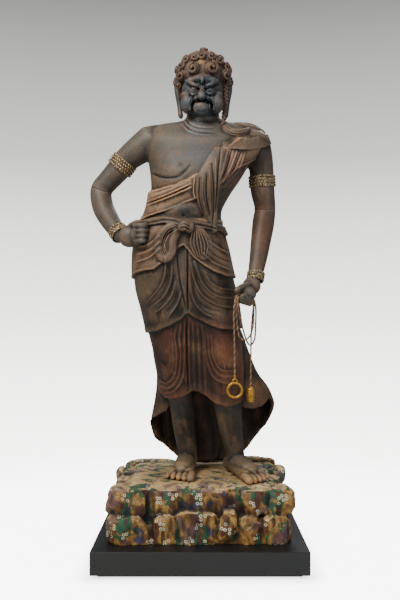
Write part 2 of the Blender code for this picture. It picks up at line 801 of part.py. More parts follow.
def carve_front(points, normals, folds):
    """Moves points that face forward along their normals, by the folds near them."""
    spread = 1 + points[:, 1] / PARTS_TO_VIEWER
    across = CENTRE_LINE + points[:, 0] / spread
    down = EYE_LINE - (points[:, 2] - SOLE_LINE + EYE_LINE) / spread
    facing = np.clip((-normals[:, 1] - 0.05) / 0.35, 0, 1)
    facing *= points[:, 1] < 8
    lift = np.zeros(len(points))
    for line, width, height in folds:
        line = smooth_curve(line, 5)
        reach = 3 * width
        low, high = line.min(0) - reach, line.max(0) + reach
        near = np.flatnonzero(
            (across > low[0]) & (across < high[0]) & (down > low[1]) & (down < high[1])
        )
        if not len(near):
            continue
        here = np.stack([across[near], down[near]], 1)
        best = np.full(len(near), np.inf)
        for a, b in zip(line, line[1:]):
            d = b - a
            t = np.clip(((here - a) @ d) / max(d @ d, 1e-9), 0, 1)
            best = np.minimum(best, np.linalg.norm(here - a - t[:, None] * d, axis=1))
        lift[near] += height * np.exp(-((best / width) ** 2))
    return points + normals * (lift * facing)[:, None]


def carve_round(points, normals):
    """Upright pleats on the skirts' sides and back, and in the train."""
    down = SOLE_LINE - points[:, 2]
    angle = np.arctan2(points[:, 0] + 12, -points[:, 1])
    behind = np.clip((np.abs(angle) - 1.5) / 0.5, 0, 1)
    below_belt = np.clip((down - 236) / 30, 0, 1) * (points[:, 2] > 4)
    leg = np.hypot(points[:, 0] + 12, points[:, 1]) < 24
    pleats = np.cos(angle * 11 + 0.6 * np.sin(down / 17))
    lift = 1.1 * pleats * behind * below_belt * ~leg
    return points + normals * lift[:, None]


def mesh_arrays(mesh):
    points = np.empty(len(mesh.vertices) * 3)
    normals = np.empty(len(mesh.vertices) * 3)
    mesh.vertices.foreach_get("co", points)
    mesh.vertices.foreach_get("normal", normals)
    return points.reshape(-1, 3), normals.reshape(-1, 3)


def evaluated_mesh(obj):
    graph = bpy.context.evaluated_depsgraph_get()
    return bpy.data.meshes.new_from_object(obj.evaluated_get(graph))


def fused(name, bm, grain, collection):
    """One object from overlapping closed shapes, joined on a grid of that grain."""
    bmesh.ops.recalc_face_normals(bm, faces=bm.faces)
    mesh = bpy.data.meshes.new(name)
    bm.to_mesh(mesh)
    bm.free()
    obj = bpy.data.objects.new(name, mesh)
    collection.objects.link(obj)
    join = obj.modifiers.new("Join", "REMESH")
    join.mode = "VOXEL"
    join.voxel_size = grain
    even = obj.modifiers.new("Even", "SMOOTH")
    even.iterations = 3
    obj.data = evaluated_mesh(obj)
    obj.modifiers.clear()
    return obj


def add_cut(obj, cutter, operation="DIFFERENCE"):
    cut = obj.modifiers.new("Cut", "BOOLEAN")
    cut.operation = operation
    cut.object = cutter


def thin_to(obj, triangles, finer=None):
    """Fewer triangles, spent on what bends; finer is a set of vertices that keep more of them."""
    count = sum(len(face.vertices) - 2 for face in obj.data.polygons)
    thin = obj.modifiers.new("Thin", "DECIMATE")
    thin.ratio = min(1.0, triangles / count)
    if finer:
        group = obj.vertex_groups.new(name="thinned")
        group.add(range(len(obj.data.vertices)), 1.0, "REPLACE")
        group.add(finer, 0.5, "REPLACE")
        thin.vertex_group = group.name
        thin.vertex_group_factor = FINER_FACTOR


def made_object(name, collection):
    """The active object, named and moved to a collection."""
    obj = bpy.context.active_object
    obj.name = name
    for other in list(obj.users_collection):
        other.objects.unlink(obj)
    collection.objects.link(obj)
    return obj


def cutter_object(name, collection):
    """The active object, made a cutter: it isn't part of the model."""
    cutter = made_object(name, collection)
    cutter.hide_render = True
    cutter.display_type = "WIRE"
    return cutter


def block_cutter(name, low, high, collection):
    centre = (Vector(low) + Vector(high)) / 2
    bpy.ops.mesh.primitive_cube_add(size=1, location=centre)
    cutter = cutter_object(name, collection)
    cutter.scale = Vector(high) - Vector(low)
    return cutter


def aim(direction):
    return Vector(direction).to_track_quat("Z", "Y")


def figure_point(across, down, depth):
    """A point of the figure in metres, over the floor."""
    point = place(across, down, depth) * PART
    return point + Vector((0, 0, SOLE_LEVEL))


def make_figure(parts, cutters, material):
    bm = bmesh.new()
    add_trunk(bm)
    add_arms(bm)
    add_fists(bm)
    add_legs(bm)
    add_feet(bm)
    add_clothes(bm)
    add_sash(bm)
    add_head(bm)
    add_hair(bm)
    figure = fused("figure", bm, PARTS_PER_CELL, parts)
    points, normals = mesh_arrays(figure.data)
    points = carve_front(points, normals, front_folds())
    points = carve_round(points, normals)
    points = points * PART + np.array((0, 0, SOLE_LEVEL))
    figure.data.vertices.foreach_set("co", points.astype(np.float32).ravel())
    figure.data.update()
    chin_level = figure_point(FACE_LINE, 122, 0).z
    head = [int(i) for i in np.flatnonzero(points[:, 2] > chin_level)]
    thin_to(figure, FIGURE_TRIANGLES, head)
    # Flat soles, seats for the four bands, and the bore that the cord passes through
    reach = FIGURE_HEIGHT / 2
    below = block_cutter(
        "sole_cutter", (-reach, -reach, SOLE_LEVEL - reach), (reach, reach, SOLE_LEVEL), cutters
    )
    add_cut(figure, below)
    for band in BANDS:
        add_cut(figure, band_seat_cutter(band, cutters))
    start, end = (figure_point(*spot) for spot in FIST_BORE)
    bpy.ops.mesh.primitive_cylinder_add(
        vertices=12,
        radius=FIST_BORE_DIAMETER / 2,
        depth=(end - start).length * 1.6,
        location=(start + end) / 2,
        rotation=aim(end - start).to_euler(),
    )
    add_cut(figure, cutter_object("fist_bore_cutter", cutters))
    figure.data.materials.append(material)
    return figure


# Each band: name, centre on the chart, direction along the limb, limb radius in parts, length and
# thickness in metres, and the number of its ribs
BANDS = (
    ("right_armlet", (122.4, 164.9, 5.6), (-0.63, 0.12, -0.77), 12.4,
     ARMLET_LENGTH, ARMLET_THICKNESS, 4),
    ("left_armlet", (262.1, 181.5, 2.6), (0.06, 0.06, -1.0), 12.1,
     ARMLET_LENGTH, ARMLET_THICKNESS, 4),
    ("right_bracelet", (119.0, 232.8, -16.8), (0.50, -0.56, -0.66), 8.6,
     BRACELET_LENGTH, BRACELET_THICKNESS, 3),
    ("left_bracelet", (255.6, 276.5, -18.6), (-0.16, -0.34, -0.93), 7.6,
     BRACELET_LENGTH, BRACELET_THICKNESS, 3),
)


def band_seat_radius(band):
    return band[3] * PART


def band_seat_cutter(band, cutters):
    """A thick ring that turns the limb down to the band's seat."""
    name, centre, along, _, length, thickness, _ = band
    inner = band_seat_radius(band)
    outer = inner + 2.5 * thickness
    half = length / 2 + BAND_CLEARANCE
    profile = [(inner, half), (inner, -half), (outer, -half), (outer, half), (inner, half)]
    ring = turned(name + "_seat_cutter", profile[::-1], cutters)
    ring.location = figure_point(*centre)
    ring.rotation_euler = aim(along).to_euler()
    ring.hide_render = True
    ring.display_type = "WIRE"
    return ring


def turned(name, profile, collection, sides=BAND_SIDES):
    """A profile of (radius, height) turned about +Z."""
    mesh = bpy.data.meshes.new(name)
    points = [(radius, 0, height) for radius, height in profile]
    mesh.from_pydata(points, [(i, i + 1) for i in range(len(points) - 1)], [])
    obj = bpy.data.objects.new(name, mesh)
    collection.objects.link(obj)
    screw = obj.modifiers.new("Turn", "SCREW")
    screw.steps = screw.render_steps = sides
    screw.use_merge_vertices = True
    screw.merge_threshold = 0.00005
    weld = obj.modifiers.new("Close", "WELD")
    weld.merge_threshold = 0.00005
    return obj


def make_band(band, parts, material):
    name, centre, along, _, length, thickness, ribs = band
    inner = band_seat_radius(band) + BAND_CLEARANCE
    base = inner + 0.45 * thickness
    crest = inner + thickness
    half = length / 2
    profile = [(inner, half), (base, half)]
    for k in range(ribs):
        middle = half - length * (k + 0.5) / ribs
        profile.append((crest, middle))
        if k < ribs - 1:
            profile.append((base, middle - 0.5 * length / ribs))
    profile += [(base, -half), (inner, -half), (inner, half)]
    ring = turned(name, profile, parts)
    ring.location = figure_point(*centre)
    ring.rotation_euler = aim(along).to_euler()
    ring.data.materials.append(material)
    return ring


# Boulders of the rock: middle across, half width, how far its face stands forward, foot and top.
# All are shares of the rock's width. The side tier runs round the right, the back and the left.
FRONT_BOULDERS = (
    (-0.3909, 0.1273, 0.4545, 0.1364, 0.2909), (-0.1667, 0.0939, 0.4318, 0.1288, 0.2788),
    (0.0606, 0.1515, 0.4242, 0.1515, 0.2879), (0.2909, 0.0879, 0.4348, 0.1439, 0.2788),
    (0.4394, 0.0788, 0.4394, 0.1439, 0.2909),
    (-0.3818, 0.1242, 0.4818, -0.0303, 0.1606), (-0.197, 0.0697, 0.4727, -0.0303, 0.1545),
    (-0.0212, 0.1242, 0.4848, -0.0303, 0.1697), (0.1485, 0.0576, 0.4788, -0.0303, 0.1788),
    (0.2697, 0.0636, 0.4742, -0.0303, 0.1485), (0.4, 0.0788, 0.4818, -0.0303, 0.1515),
)
SIDE_BOULDERS = (
    (-0.303, 0.1288, 0.503, 0.1288, 0.2848), (-0.0455, 0.1212, 0.4879, 0.1515, 0.2879),
    (0.197, 0.1136, 0.5, 0.1364, 0.2818), (0.3788, 0.0909, 0.4848, 0.1439, 0.2909),
    (-0.3333, 0.1136, 0.4939, -0.0303, 0.1515), (-0.1515, 0.0758, 0.4818, -0.0303, 0.1667),
    (0.0455, 0.1212, 0.497, -0.0303, 0.1576), (0.2576, 0.0909, 0.4788, -0.0303, 0.1515),
    (0.3939, 0.0758, 0.4879, -0.0303, 0.1636),
)
# Raised lumps on top: middle, half size and height over the top
TOP_LUMPS = (
    (-0.4167, 0.0758, 0.0833, 0.0682, 0.0242), (0.4621, 0.0909, 0.0455, 0.0909, 0.0273),
    (0.2652, 0.4318, 0.2197, 0.0455, 0.0242), (-0.303, 0.4091, 0.1667, 0.053, 0.0091),
)


# How far the rock's core lies behind its faces, as a share of its width
CORE_INSET = 0.053


def add_boulder(bm, low, high, quarter_turns=0, blunt=0.62):
    """A rounded block between two corners, turned about the middle of the rock."""
    centre = (Vector(low) + Vector(high)) / 2
    half = (Vector(high) - Vector(low)) / 2
    made = bmesh.ops.create_uvsphere(bm, u_segments=16, v_segments=12, radius=1)
    turn = Matrix.Rotation(math.radians(90 * quarter_turns), 3, "Z")
    for vert in made["verts"]:
        shaped = [math.copysign(abs(c) ** blunt, c) * h for c, h in zip(vert.co, half)]
        vert.co = turn @ (centre + Vector(shaped))


def make_rock(parts, cutters, material):
    """A rock carved as two tiers of boulders with clefts between, flat where the feet stand."""
    bm = bmesh.new()
    size = ROCK_WIDTH
    height = ROCK_HEIGHT / size
    core_x = 0.5 - CORE_INSET
    core_y = ROCK_DEPTH / size / 2 - CORE_INSET
    sunk = -0.03
    add_boulder(bm, (-core_x, -core_y + 0.023, -0.075), (core_x, core_y, height + 0.0015), 0, 0.22)
    add_boulder(bm, (-0.47, -0.455, sunk), (0.47, 0.47, 0.114), 0, 0.3)
    for turns, tier in enumerate((FRONT_BOULDERS, SIDE_BOULDERS, SIDE_BOULDERS, SIDE_BOULDERS)):
        for k, (middle, half, face, low, high) in enumerate(tier):
            if turns == 2:
                face -= 0.018
            if turns == 3:
                middle = -middle
            depth = 0.167 + 0.015 * (k % 3)
            add_boulder(bm, (middle - half, -face, low), (middle + half, -face + depth, high), turns)
    for x, y, half_x, half_y, rise in TOP_LUMPS:
        add_boulder(
            bm,
            (x - half_x, y - half_y, height - 0.075),
            (x + half_x, y + half_y, height + rise),
        )
    bmesh.ops.scale(bm, vec=(size, size, size), verts=bm.verts)
    rock = fused("rock_base", bm, ROCK_WIDTH / CELLS_ACROSS_ROCK, parts)
    rock.data.transform(Matrix.Translation((0, 0, ROCK_FLOOR)))
    thin_to(rock, ROCK_TRIANGLES)
    feet_low = figure_point(158, SOLE_LINE, -72)
    feet_high = figure_point(272, SOLE_LINE, 28)
    seat = block_cutter(
        "seat_cutter",
        (feet_low.x, feet_low.y, ROCK_TOP),
        (feet_high.x, feet_high.y, ROCK_TOP + ROCK_HEIGHT),
        cutters,
    )
    add_cut(rock, seat)
    floor = block_cutter(
        "rock_floor_cutter",
        (-ROCK_WIDTH, -ROCK_DEPTH, ROCK_FLOOR - ROCK_HEIGHT),
        (ROCK_WIDTH, ROCK_DEPTH, ROCK_FLOOR),
        cutters,
    )
    add_cut(rock, floor)
    rock.data.materials.append(material)
    return rock


def make_plinth(parts, cutters, material):
    board_middle = PLINTH_FOOT_HEIGHT + PLINTH_BOARD_HEIGHT / 2
    bpy.ops.mesh.primitive_cube_add(size=1, location=(0, 0, board_middle))
    plinth = made_object("plinth", parts)
    plinth.data.transform(
        Matrix.Diagonal((PLINTH_WIDTH, PLINTH_DEPTH, PLINTH_BOARD_HEIGHT, 1))
    )
    edge = plinth.modifiers.new("Edge", "BEVEL")
    edge.width = PLINTH_EDGE_RADIUS
    edge.segments = 1
    foot_width = PLINTH_WIDTH - 2 * PLINTH_FOOT_INSET
    foot_depth = PLINTH_DEPTH - 2 * PLINTH_FOOT_INSET
    foot = block_cutter(
        "foot_shape",
        (-foot_width / 2, -foot_depth / 2, 0),
        (foot_width / 2, foot_depth / 2, PLINTH_FOOT_HEIGHT + PLINTH_BOARD_HEIGHT / 2),
        cutters,
    )
    add_cut(plinth, foot, "UNION")
    plinth.data.materials.append(material)
    return plinth


# The cord's course on the chart: up from the ring, three times through the fist, down to the weight
RING_STRAND = ((234.8, 375.0, -42.5), (234.6, 352, -42.5), (234.2, 330, -42.5), (234.0, 310, -42.5))
FIRST_LOOP = ((253.6, 309, -24.6), (253.0, 326, -26.5), (249.8, 336, -30), (244.5, 340, -34.5),
              (239.2, 336.5, -38), (237.2, 326, -39.6), (236.3, 312, -40.2), (236.0, 303, -40.4))
SECOND_LOOP = ((255.8, 309, -22), (255.6, 326, -23), (254.6, 339, -24.5), (250.5, 345.3, -27.5),
               (246.8, 341, -30.5), (243.2, 330, -33.5), (240.0, 317, -37.5), (237.8, 306, -41.4))
WEIGHT_STRAND = ((253.0, 311, -19.4), (251.4, 330, -19.2), (250.9, 352, -19.2), (250.6, 386.5, -19.2))


def cord_course():
    """The cord's middle line in metres, as evenly spaced points from the ring to the weight."""
    start, end = (figure_point(*spot) for spot in FIST_BORE)
    along = (end - start).normalized()
    side = along.cross(Vector((0, 0, 1))).normalized()
    upright = side.cross(along)
    reach = CORD_DIAMETER * CORD_IN_FIST
    line = []
    strands = (RING_STRAND, FIRST_LOOP, SECOND_LOOP, WEIGHT_STRAND)
    for k, strand in enumerate(strands):
        line += [figure_point(*spot) for spot in strand]
        if k < len(strands) - 1:
            turn = math.radians(210 - 120 * k)
            shift = (side * math.cos(turn) + upright * math.sin(turn)) * reach
            line += [start + shift, start.lerp(end, 0.5) + shift, end + shift]
    return smooth_curve(line, CORD_STEPS)


def make_cord(parts, material):
    points = cord_course()
    curve = bpy.data.curves.new("lasso_rope", "CURVE")
    curve.dimensions = "3D"
    curve.bevel_depth = CORD_DIAMETER / 2
    curve.bevel_resolution = CORD_BEVEL_STEPS
    curve.use_fill_caps = True
    spline = curve.splines.new("POLY")
    spline.points.add(len(points) - 1)
    for target, point in zip(spline.points, points):
        target.co = (*point, 1)
    curve.materials.append(material)
    rope = bpy.data.objects.new("lasso_rope", curve)
    parts.objects.link(rope)
    return rope


def make_ring(parts, cutters, material):
    """The lasso's ring with the eye and the ferrule that the cord's end goes into."""
    top = Vector(cord_course()[0]) - Vector((0, 0, FITTING_GAP))
    eye_middle = top.z - FERRULE_LENGTH - EYE_RADIUS + EYE_SECTION_RADIUS
    ring_middle = eye_middle - EYE_RADIUS - RING_RADIUS
    upright = (math.radians(90), 0, 0)
    bpy.ops.mesh.primitive_torus_add(
        location=(top.x, top.y, ring_middle),
        rotation=upright,
        major_radius=RING_RADIUS,
        minor_radius=RING_SECTION_RADIUS,
        major_segments=18,
        minor_segments=6,
    )
    ring = made_object("lasso_ring", parts)
    bpy.ops.mesh.primitive_torus_add(
        location=(top.x, top.y, eye_middle),
        rotation=upright,
        major_radius=EYE_RADIUS,
        minor_radius=EYE_SECTION_RADIUS,
        major_segments=10,
        minor_segments=6,
    )
    add_cut(ring, cutter_object("eye_shape", cutters), "UNION")
    bpy.ops.mesh.primitive_cone_add(
        vertices=10,
        radius1=FERRULE_RADIUS * 0.7,
        radius2=FERRULE_RADIUS,
        depth=FERRULE_LENGTH,
        location=(top.x, top.y, top.z - FERRULE_LENGTH / 2),
    )
    add_cut(ring, cutter_object("ferrule_shape", cutters), "UNION")
    ring.data.materials.append(material)
    return ring


def make_weight(parts, material):
    """The lasso's weight: a domed crown over a collar and a tapered cup."""
    top = Vector(cord_course()[-1]) - Vector((0, 0, FITTING_GAP))
    shares = ((0, 0), (0.3, 0), (0.34, -0.05), (0.78, -0.12), (0.95, -0.24), (0.9, -0.3), (1, -0.33),
              (1, -0.38), (0.8, -0.41), (0.66, -0.96), (0.58, -1), (0, -1))
    profile = [(r * WEIGHT_RADIUS, h * WEIGHT_LENGTH) for r, h in shares]
    weight = turned("lasso_weight", profile, parts, sides=10)
    weight.location = top
    weight.data.materials.append(material)
    return weight


def build():
    clear_scene()
    parts = new_collection("guardian_king_statue")
    cutters = new_collection("cutters")
    wood = finish_material("painted_wood", (0.10, 0.065, 0.045), 0.62)
    stone = finish_material("painted_rock", (0.24, 0.15, 0.06), 0.7)
    dark = finish_material("dark_lacquer", (0.03, 0.034, 0.032), 0.45)
    gilt = finish_material("gilt_metal", (0.42, 0.25, 0.06), 0.4, 0.9)
    rope = finish_material("braided_silk", (0.38, 0.20, 0.09), 0.8)
    make_plinth(parts, cutters, dark)
    make_rock(parts, cutters, stone)
    make_figure(parts, cutters, wood)
    for band in BANDS:
        make_band(band, parts, gilt)
    make_cord(parts, rope)
    make_ring(parts, cutters, gilt)
    make_weight(parts, gilt)


build()
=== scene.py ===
import math

import bmesh
import bpy
import numpy as np
from mathutils import Matrix, Vector
from mathutils.bvhtree import BVHTree


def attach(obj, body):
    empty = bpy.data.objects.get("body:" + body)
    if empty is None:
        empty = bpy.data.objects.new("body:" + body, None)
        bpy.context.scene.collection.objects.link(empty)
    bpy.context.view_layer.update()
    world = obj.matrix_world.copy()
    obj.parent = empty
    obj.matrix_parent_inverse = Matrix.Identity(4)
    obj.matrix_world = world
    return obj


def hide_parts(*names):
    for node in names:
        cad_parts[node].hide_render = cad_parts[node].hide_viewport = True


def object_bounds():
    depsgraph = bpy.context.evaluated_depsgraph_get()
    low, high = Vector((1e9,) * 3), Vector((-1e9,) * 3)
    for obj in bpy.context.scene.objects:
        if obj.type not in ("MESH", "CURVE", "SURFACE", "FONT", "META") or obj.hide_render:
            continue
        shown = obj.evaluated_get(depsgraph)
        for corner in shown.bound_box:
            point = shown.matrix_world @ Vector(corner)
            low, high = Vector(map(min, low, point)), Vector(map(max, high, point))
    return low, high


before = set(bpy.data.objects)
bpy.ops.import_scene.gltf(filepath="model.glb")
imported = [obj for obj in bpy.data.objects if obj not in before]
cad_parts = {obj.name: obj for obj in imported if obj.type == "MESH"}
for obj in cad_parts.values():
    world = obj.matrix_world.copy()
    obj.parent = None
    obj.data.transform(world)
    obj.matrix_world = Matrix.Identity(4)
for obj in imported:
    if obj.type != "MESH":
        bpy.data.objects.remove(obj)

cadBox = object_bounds()

# The chart that the carving is laid out on: across and down are what a viewer sees from straight
# ahead, depth is negative towards the viewer, and all three are counted in equal parts.
chart = {
    "figureHeight": 1.62,  # metres from the soles to the top of the hair
    "partsInHeight": 421,
    "centreLine": 200,
    "soleLine": 472,
    "eyeLine": 316,
    "viewDistance": 835,
    "soleLevel": 0.2886,  # metres from the floor to the soles
    "faceLine": 202,
    "earLine": 203.3,
}
part = chart["figureHeight"] / chart["partsInHeight"]


def place(across, down, depth):
    # a point seen at a spot of the chart, in parts from the middle of the soles
    spread = 1 + depth / chart["viewDistance"]
    height = chart["soleLine"] - chart["eyeLine"] + (chart["eyeLine"] - down) * spread
    return Vector(((across - chart["centreLine"]) * spread, depth, height))


def placeLow(across, down, depth):
    # a point near the floor, measured square to it and not as seen
    return Vector((across - chart["centreLine"], depth, chart["soleLine"] - down))


def inMetres(point):
    return Vector(point) * part + Vector((0, 0, chart["soleLevel"]))


def smoothCurve(rows, steps):
    # rows of numbers joined by one smooth curve through every row, steps to a span
    rows = np.array(rows, float)
    before = np.vstack([2 * rows[0] - rows[1], rows, 2 * rows[-1] - rows[-2]])
    out = []
    for i in range(len(rows) - 1):
        a, b, c, d = before[i : i + 4]
        for t in np.arange(steps) / steps:
            out.append(
                b
                + 0.5 * t * (c - a)
                + t * t * (a - 2.5 * b + 2 * c - 0.5 * d)
                + t**3 * (-0.5 * a + 1.5 * b - 1.5 * c + 0.5 * d)
            )
    out.append(rows[-1])
    return np.array(out)


# Camera

cameraSetup = {
    "lens": 50.1,
    "film": 36,
    "lift": 16 / 600,  # the eye line stands this share of the frame below its middle
}


def setCamera():
    data = bpy.data.cameras.new("portraitCamera")
    data.lens = cameraSetup["lens"]
    data.sensor_width = cameraSetup["film"]
    data.shift_y = cameraSetup["lift"]
    camera = bpy.data.objects.new("portraitCamera", data)
    eyeHeight = chart["soleLevel"] + (chart["soleLine"] - chart["eyeLine"]) * part
    camera.location = (0, -chart["viewDistance"] * part, eyeHeight)
    camera.rotation_euler = (math.radians(90), 0, 0)
    bpy.context.scene.collection.objects.link(camera)
    bpy.context.scene.camera = camera


# Materials: one function for colours, one for nodes


def colour(code):
    # an sRGB hex value as linear red, green, blue and a full alpha
    values = [int(code[i : i + 2], 16) / 255 for i in (1, 3, 5)]
    return [v / 12.92 if v <= 0.04045 else ((v + 0.055) / 1.055) ** 2.4 for v in values] + [1.0]


def repeats(millimetres):
    # how many features of that size a pattern fits into a metre
    return 1000 / millimetres


def node(tree, kind, links=None, stops=None, **settings):
    # adds a node; links gives its inputs values or other nodes' sockets, stops a ramp's colours.
    # A colour Mix node takes its share at 0 and its two colours at 6 and 7, and gives them at 2.
    made = tree.nodes.new(kind)
    for key, value in settings.items():
        setattr(made, key, value)
    if stops:
        ramp = made.color_ramp
        while len(ramp.elements) < len(stops):
            ramp.elements.new(0.5)
        for element, (position, shade) in zip(ramp.elements, stops):
            element.position = position
            element.color = colour(shade) if isinstance(shade, str) else (shade, shade, shade, 1)
    for key, value in (links or {}).items():
        if isinstance(value, bpy.types.NodeSocket):
            tree.links.new(value, made.inputs[key])
        else:
            made.inputs[key].default_value = value
    return made


def newMaterial(name):
    material = bpy.data.materials.new(name)
    material.use_nodes = True
    tree = material.node_tree
    return material, tree, tree.nodes["Principled BSDF"]


# Mesh helpers


def addObject(name, mesh):
    obj = bpy.data.objects.new(name, mesh)
    bpy.context.scene.collection.objects.link(obj)
    return obj


def meshOf(bm, name):
    mesh = bpy.data.meshes.new(name)
    bm.to_mesh(mesh)
    bm.free()
    return mesh


def evaluatedMesh(obj):
    graph = bpy.context.evaluated_depsgraph_get()
    return bpy.data.meshes.new_from_object(obj.evaluated_get(graph))


def joinInto(target, source):
    # adds one bmesh to another
    mesh = meshOf(source, "joining")
    target.from_mesh(mesh)
    bpy.data.meshes.remove(mesh)


def addLoft(bm, rings):
    # a skin over rings of as many points each: a grid is wrapped round them, closed at its seam
    # and drawn to a point at both ends
    rings = [[sum(rings[0], Vector()) / len(rings[0])] * len(rings[0])] + list(rings)
    rings.append([sum(rings[-1], Vector()) / len(rings[-1])] * len(rings[-1]))
    columns = len(rings[0])
    skin = bmesh.new()
    made = bmesh.ops.create_grid(skin, x_segments=columns, y_segments=len(rings) - 1, size=1)["verts"]
    for row, ring in enumerate(rings):
        for k in range(columns + 1):
            made[row * (columns + 1) + k].co = ring[k % columns]
    bmesh.ops.remove_doubles(skin, verts=made, dist=1e-6)
    joinInto(bm, skin)


def addTube(bm, stations, flat=1.0, facing=(0, -1, 0), sides=20, steps=6, placing=place):
    # a limb or a band through (across, down, depth, radius); flat is its thickness towards facing
    rows = smoothCurve([(*placing(a, d, y), r) for a, d, y, r in stations], steps)
    spine = [Vector(row[:3]) for row in rows]
    radii = np.maximum(rows[:, 3], 0.3)
    rings = []
    for i, point in enumerate(spine):
        along = (spine[min(i + 1, len(spine) - 1)] - spine[max(i - 1, 0)]).normalized()
        side = along.cross(Vector(facing)).normalized()
        front = side.cross(along).normalized()
        ends = [(0.0, 1.0)]
        if i == 0:
            ends = [(-0.95, 0.3), (-0.7, 0.7), (0.0, 1.0)]
        elif i == len(spine) - 1:
            ends = [(0.0, 1.0), (0.7, 0.7), (0.95, 0.3)]
        for reach, share in ends:
            centre = point + along * reach * radii[i] * flat
            ring = []
            for k in range(sides):
                turn = 2 * math.pi * k / sides
                wide = side * math.cos(turn) * radii[i] * share
                toward = front * math.sin(turn) * radii[i] * share * flat
                ring.append(centre + wide + toward)
            rings.append(ring)
    addLoft(bm, rings)


def addSphere(bm, matrix, segments, rings):
    ball = bmesh.new()
    bmesh.ops.create_uvsphere(ball, u_segments=segments, v_segments=rings, radius=1, matrix=matrix)
    joinInto(bm, ball)


def addBall(bm, across, down, depth, radii, turn=0.0, segments=28, rings=18):
    # an egg of three half-axes, turned about the depth axis by turn degrees
    matrix = Matrix.Translation(place(across, down, depth))
    matrix @= Matrix.Rotation(math.radians(turn), 4, "Y") @ Matrix.Diagonal((*radii, 1))
    addSphere(bm, matrix, segments, rings)


# The lasso's cord, made first: three twisted strands of silk

cordSetup = {
    "diameter": 0.007,
    "strandRadius": 0.0019,
    "strandOffset": 0.00165,
    "twist": 0.024,  # metres to a full turn of the strands
    "pointEvery": 0.0022,
    "routeSteps": 2,
    "handShift": 0.86,  # how far the three passes lie from the middle of the fist, in diameters
}
# The bore of the left fist, and the cord's strands on the chart, from the ring to the weight
fistBore = ((238.2, 294.2, -37.5), (253.0, 300.2, -23.5))
cordStrands = (
    ((234.8, 375.0, -42.5), (234.6, 352, -42.5), (234.2, 330, -42.5), (234.0, 310, -42.5)),
    ((253.6, 309, -24.6), (253.0, 326, -26.5), (249.8, 336, -30), (244.5, 340, -34.5),
     (239.2, 336.5, -38), (237.2, 326, -39.6), (236.3, 312, -40.2), (236.0, 303, -40.4)),
    ((255.8, 309, -22), (255.6, 326, -23), (254.6, 339, -24.5), (250.5, 345.3, -27.5),
     (246.8, 341, -30.5), (243.2, 330, -33.5), (240.0, 317, -37.5), (237.8, 306, -41.4)),
    ((253.0, 311, -19.4), (251.4, 330, -19.2), (250.9, 352, -19.2), (250.6, 386.5, -19.2)),
)


def cordCourse(steps):
    start, end = (inMetres(place(*spot)) for spot in fistBore)
    along = (end - start).normalized()
    side = along.cross(Vector((0, 0, 1))).normalized()
    upright = side.cross(along)
    reach = cordSetup["diameter"] * cordSetup["handShift"]
    line = []
    for k, strand in enumerate(cordStrands):
        line += [inMetres(place(*spot)) for spot in strand]
        if k < len(cordStrands) - 1:
            turn = math.radians(210 - 120 * k)
            shift = (side * math.cos(turn) + upright * math.sin(turn)) * reach
            line += [start + shift, start.lerp(end, 0.5) + shift, end + shift]
    return smoothCurve(line, steps)


def evenly(points, step):
    points = np.array(points)
    lengths = np.concatenate([[0], np.cumsum(np.linalg.norm(np.diff(points, axis=0), axis=1))])
    places = np.linspace(0, lengths[-1], int(lengths[-1] / step) + 1)
    return np.stack([np.interp(places, lengths, points[:, k]) for k in range(3)], 1), lengths[-1]


def makeCord():
    line, length = evenly(cordCourse(12), cordSetup["pointEvery"])
    spine = [Vector(point) for point in line]
    curve = bpy.data.curves.new("lassoStrands", "CURVE")
    curve.dimensions = "3D"
    curve.bevel_depth = cordSetup["strandRadius"]
    curve.bevel_resolution = 1
    curve.use_fill_caps = True
    splines = []
    for k in range(3):
        spline = curve.splines.new("POLY")
        spline.points.add(len(spine) - 1)
        spline.material_index = k
        splines.append(spline)
    along = (spine[1] - spine[0]).normalized()
    side = along.orthogonal().normalized()
    for i, point in enumerate(spine):
        ahead = (spine[min(i + 1, len(spine) - 1)] - spine[max(i - 1, 0)]).normalized()
        side = (side - ahead * side.dot(ahead)).normalized()
        other = ahead.cross(side)
        for k, spline in enumerate(splines):
            turn = 2 * math.pi * (i * cordSetup["pointEvery"] / cordSetup["twist"] + k / 3)
            spot = side * math.cos(turn) + other * math.sin(turn)
            spline.points[i].co = (*(point + spot * cordSetup["strandOffset"]), 1)
    source = addObject("lassoStrands", curve)
    mesh = evaluatedMesh(source)
    bpy.data.objects.remove(source)
    mesh.name = "lassoCord"
    for polygon in mesh.polygons:
        polygon.use_smooth = True
    # three strands of as many faces each
    third = len(mesh.polygons) // 3
    while len(mesh.materials):
        mesh.materials.pop()
    for shade in ("#bb9d78", "#a37c58", "#6d4833"):
        mesh.materials.append(silkMaterial("twistedSilk" + shade[1:], shade))
    for polygon in mesh.polygons:
        polygon.material_index = min(2, polygon.index // third)
    cord = addObject("lassoCord", mesh)
    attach(cord, "root")
    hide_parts("lasso_rope")
    [list(point) for point in evenly(cordCourse(6), 0.006)[0]]
    return length


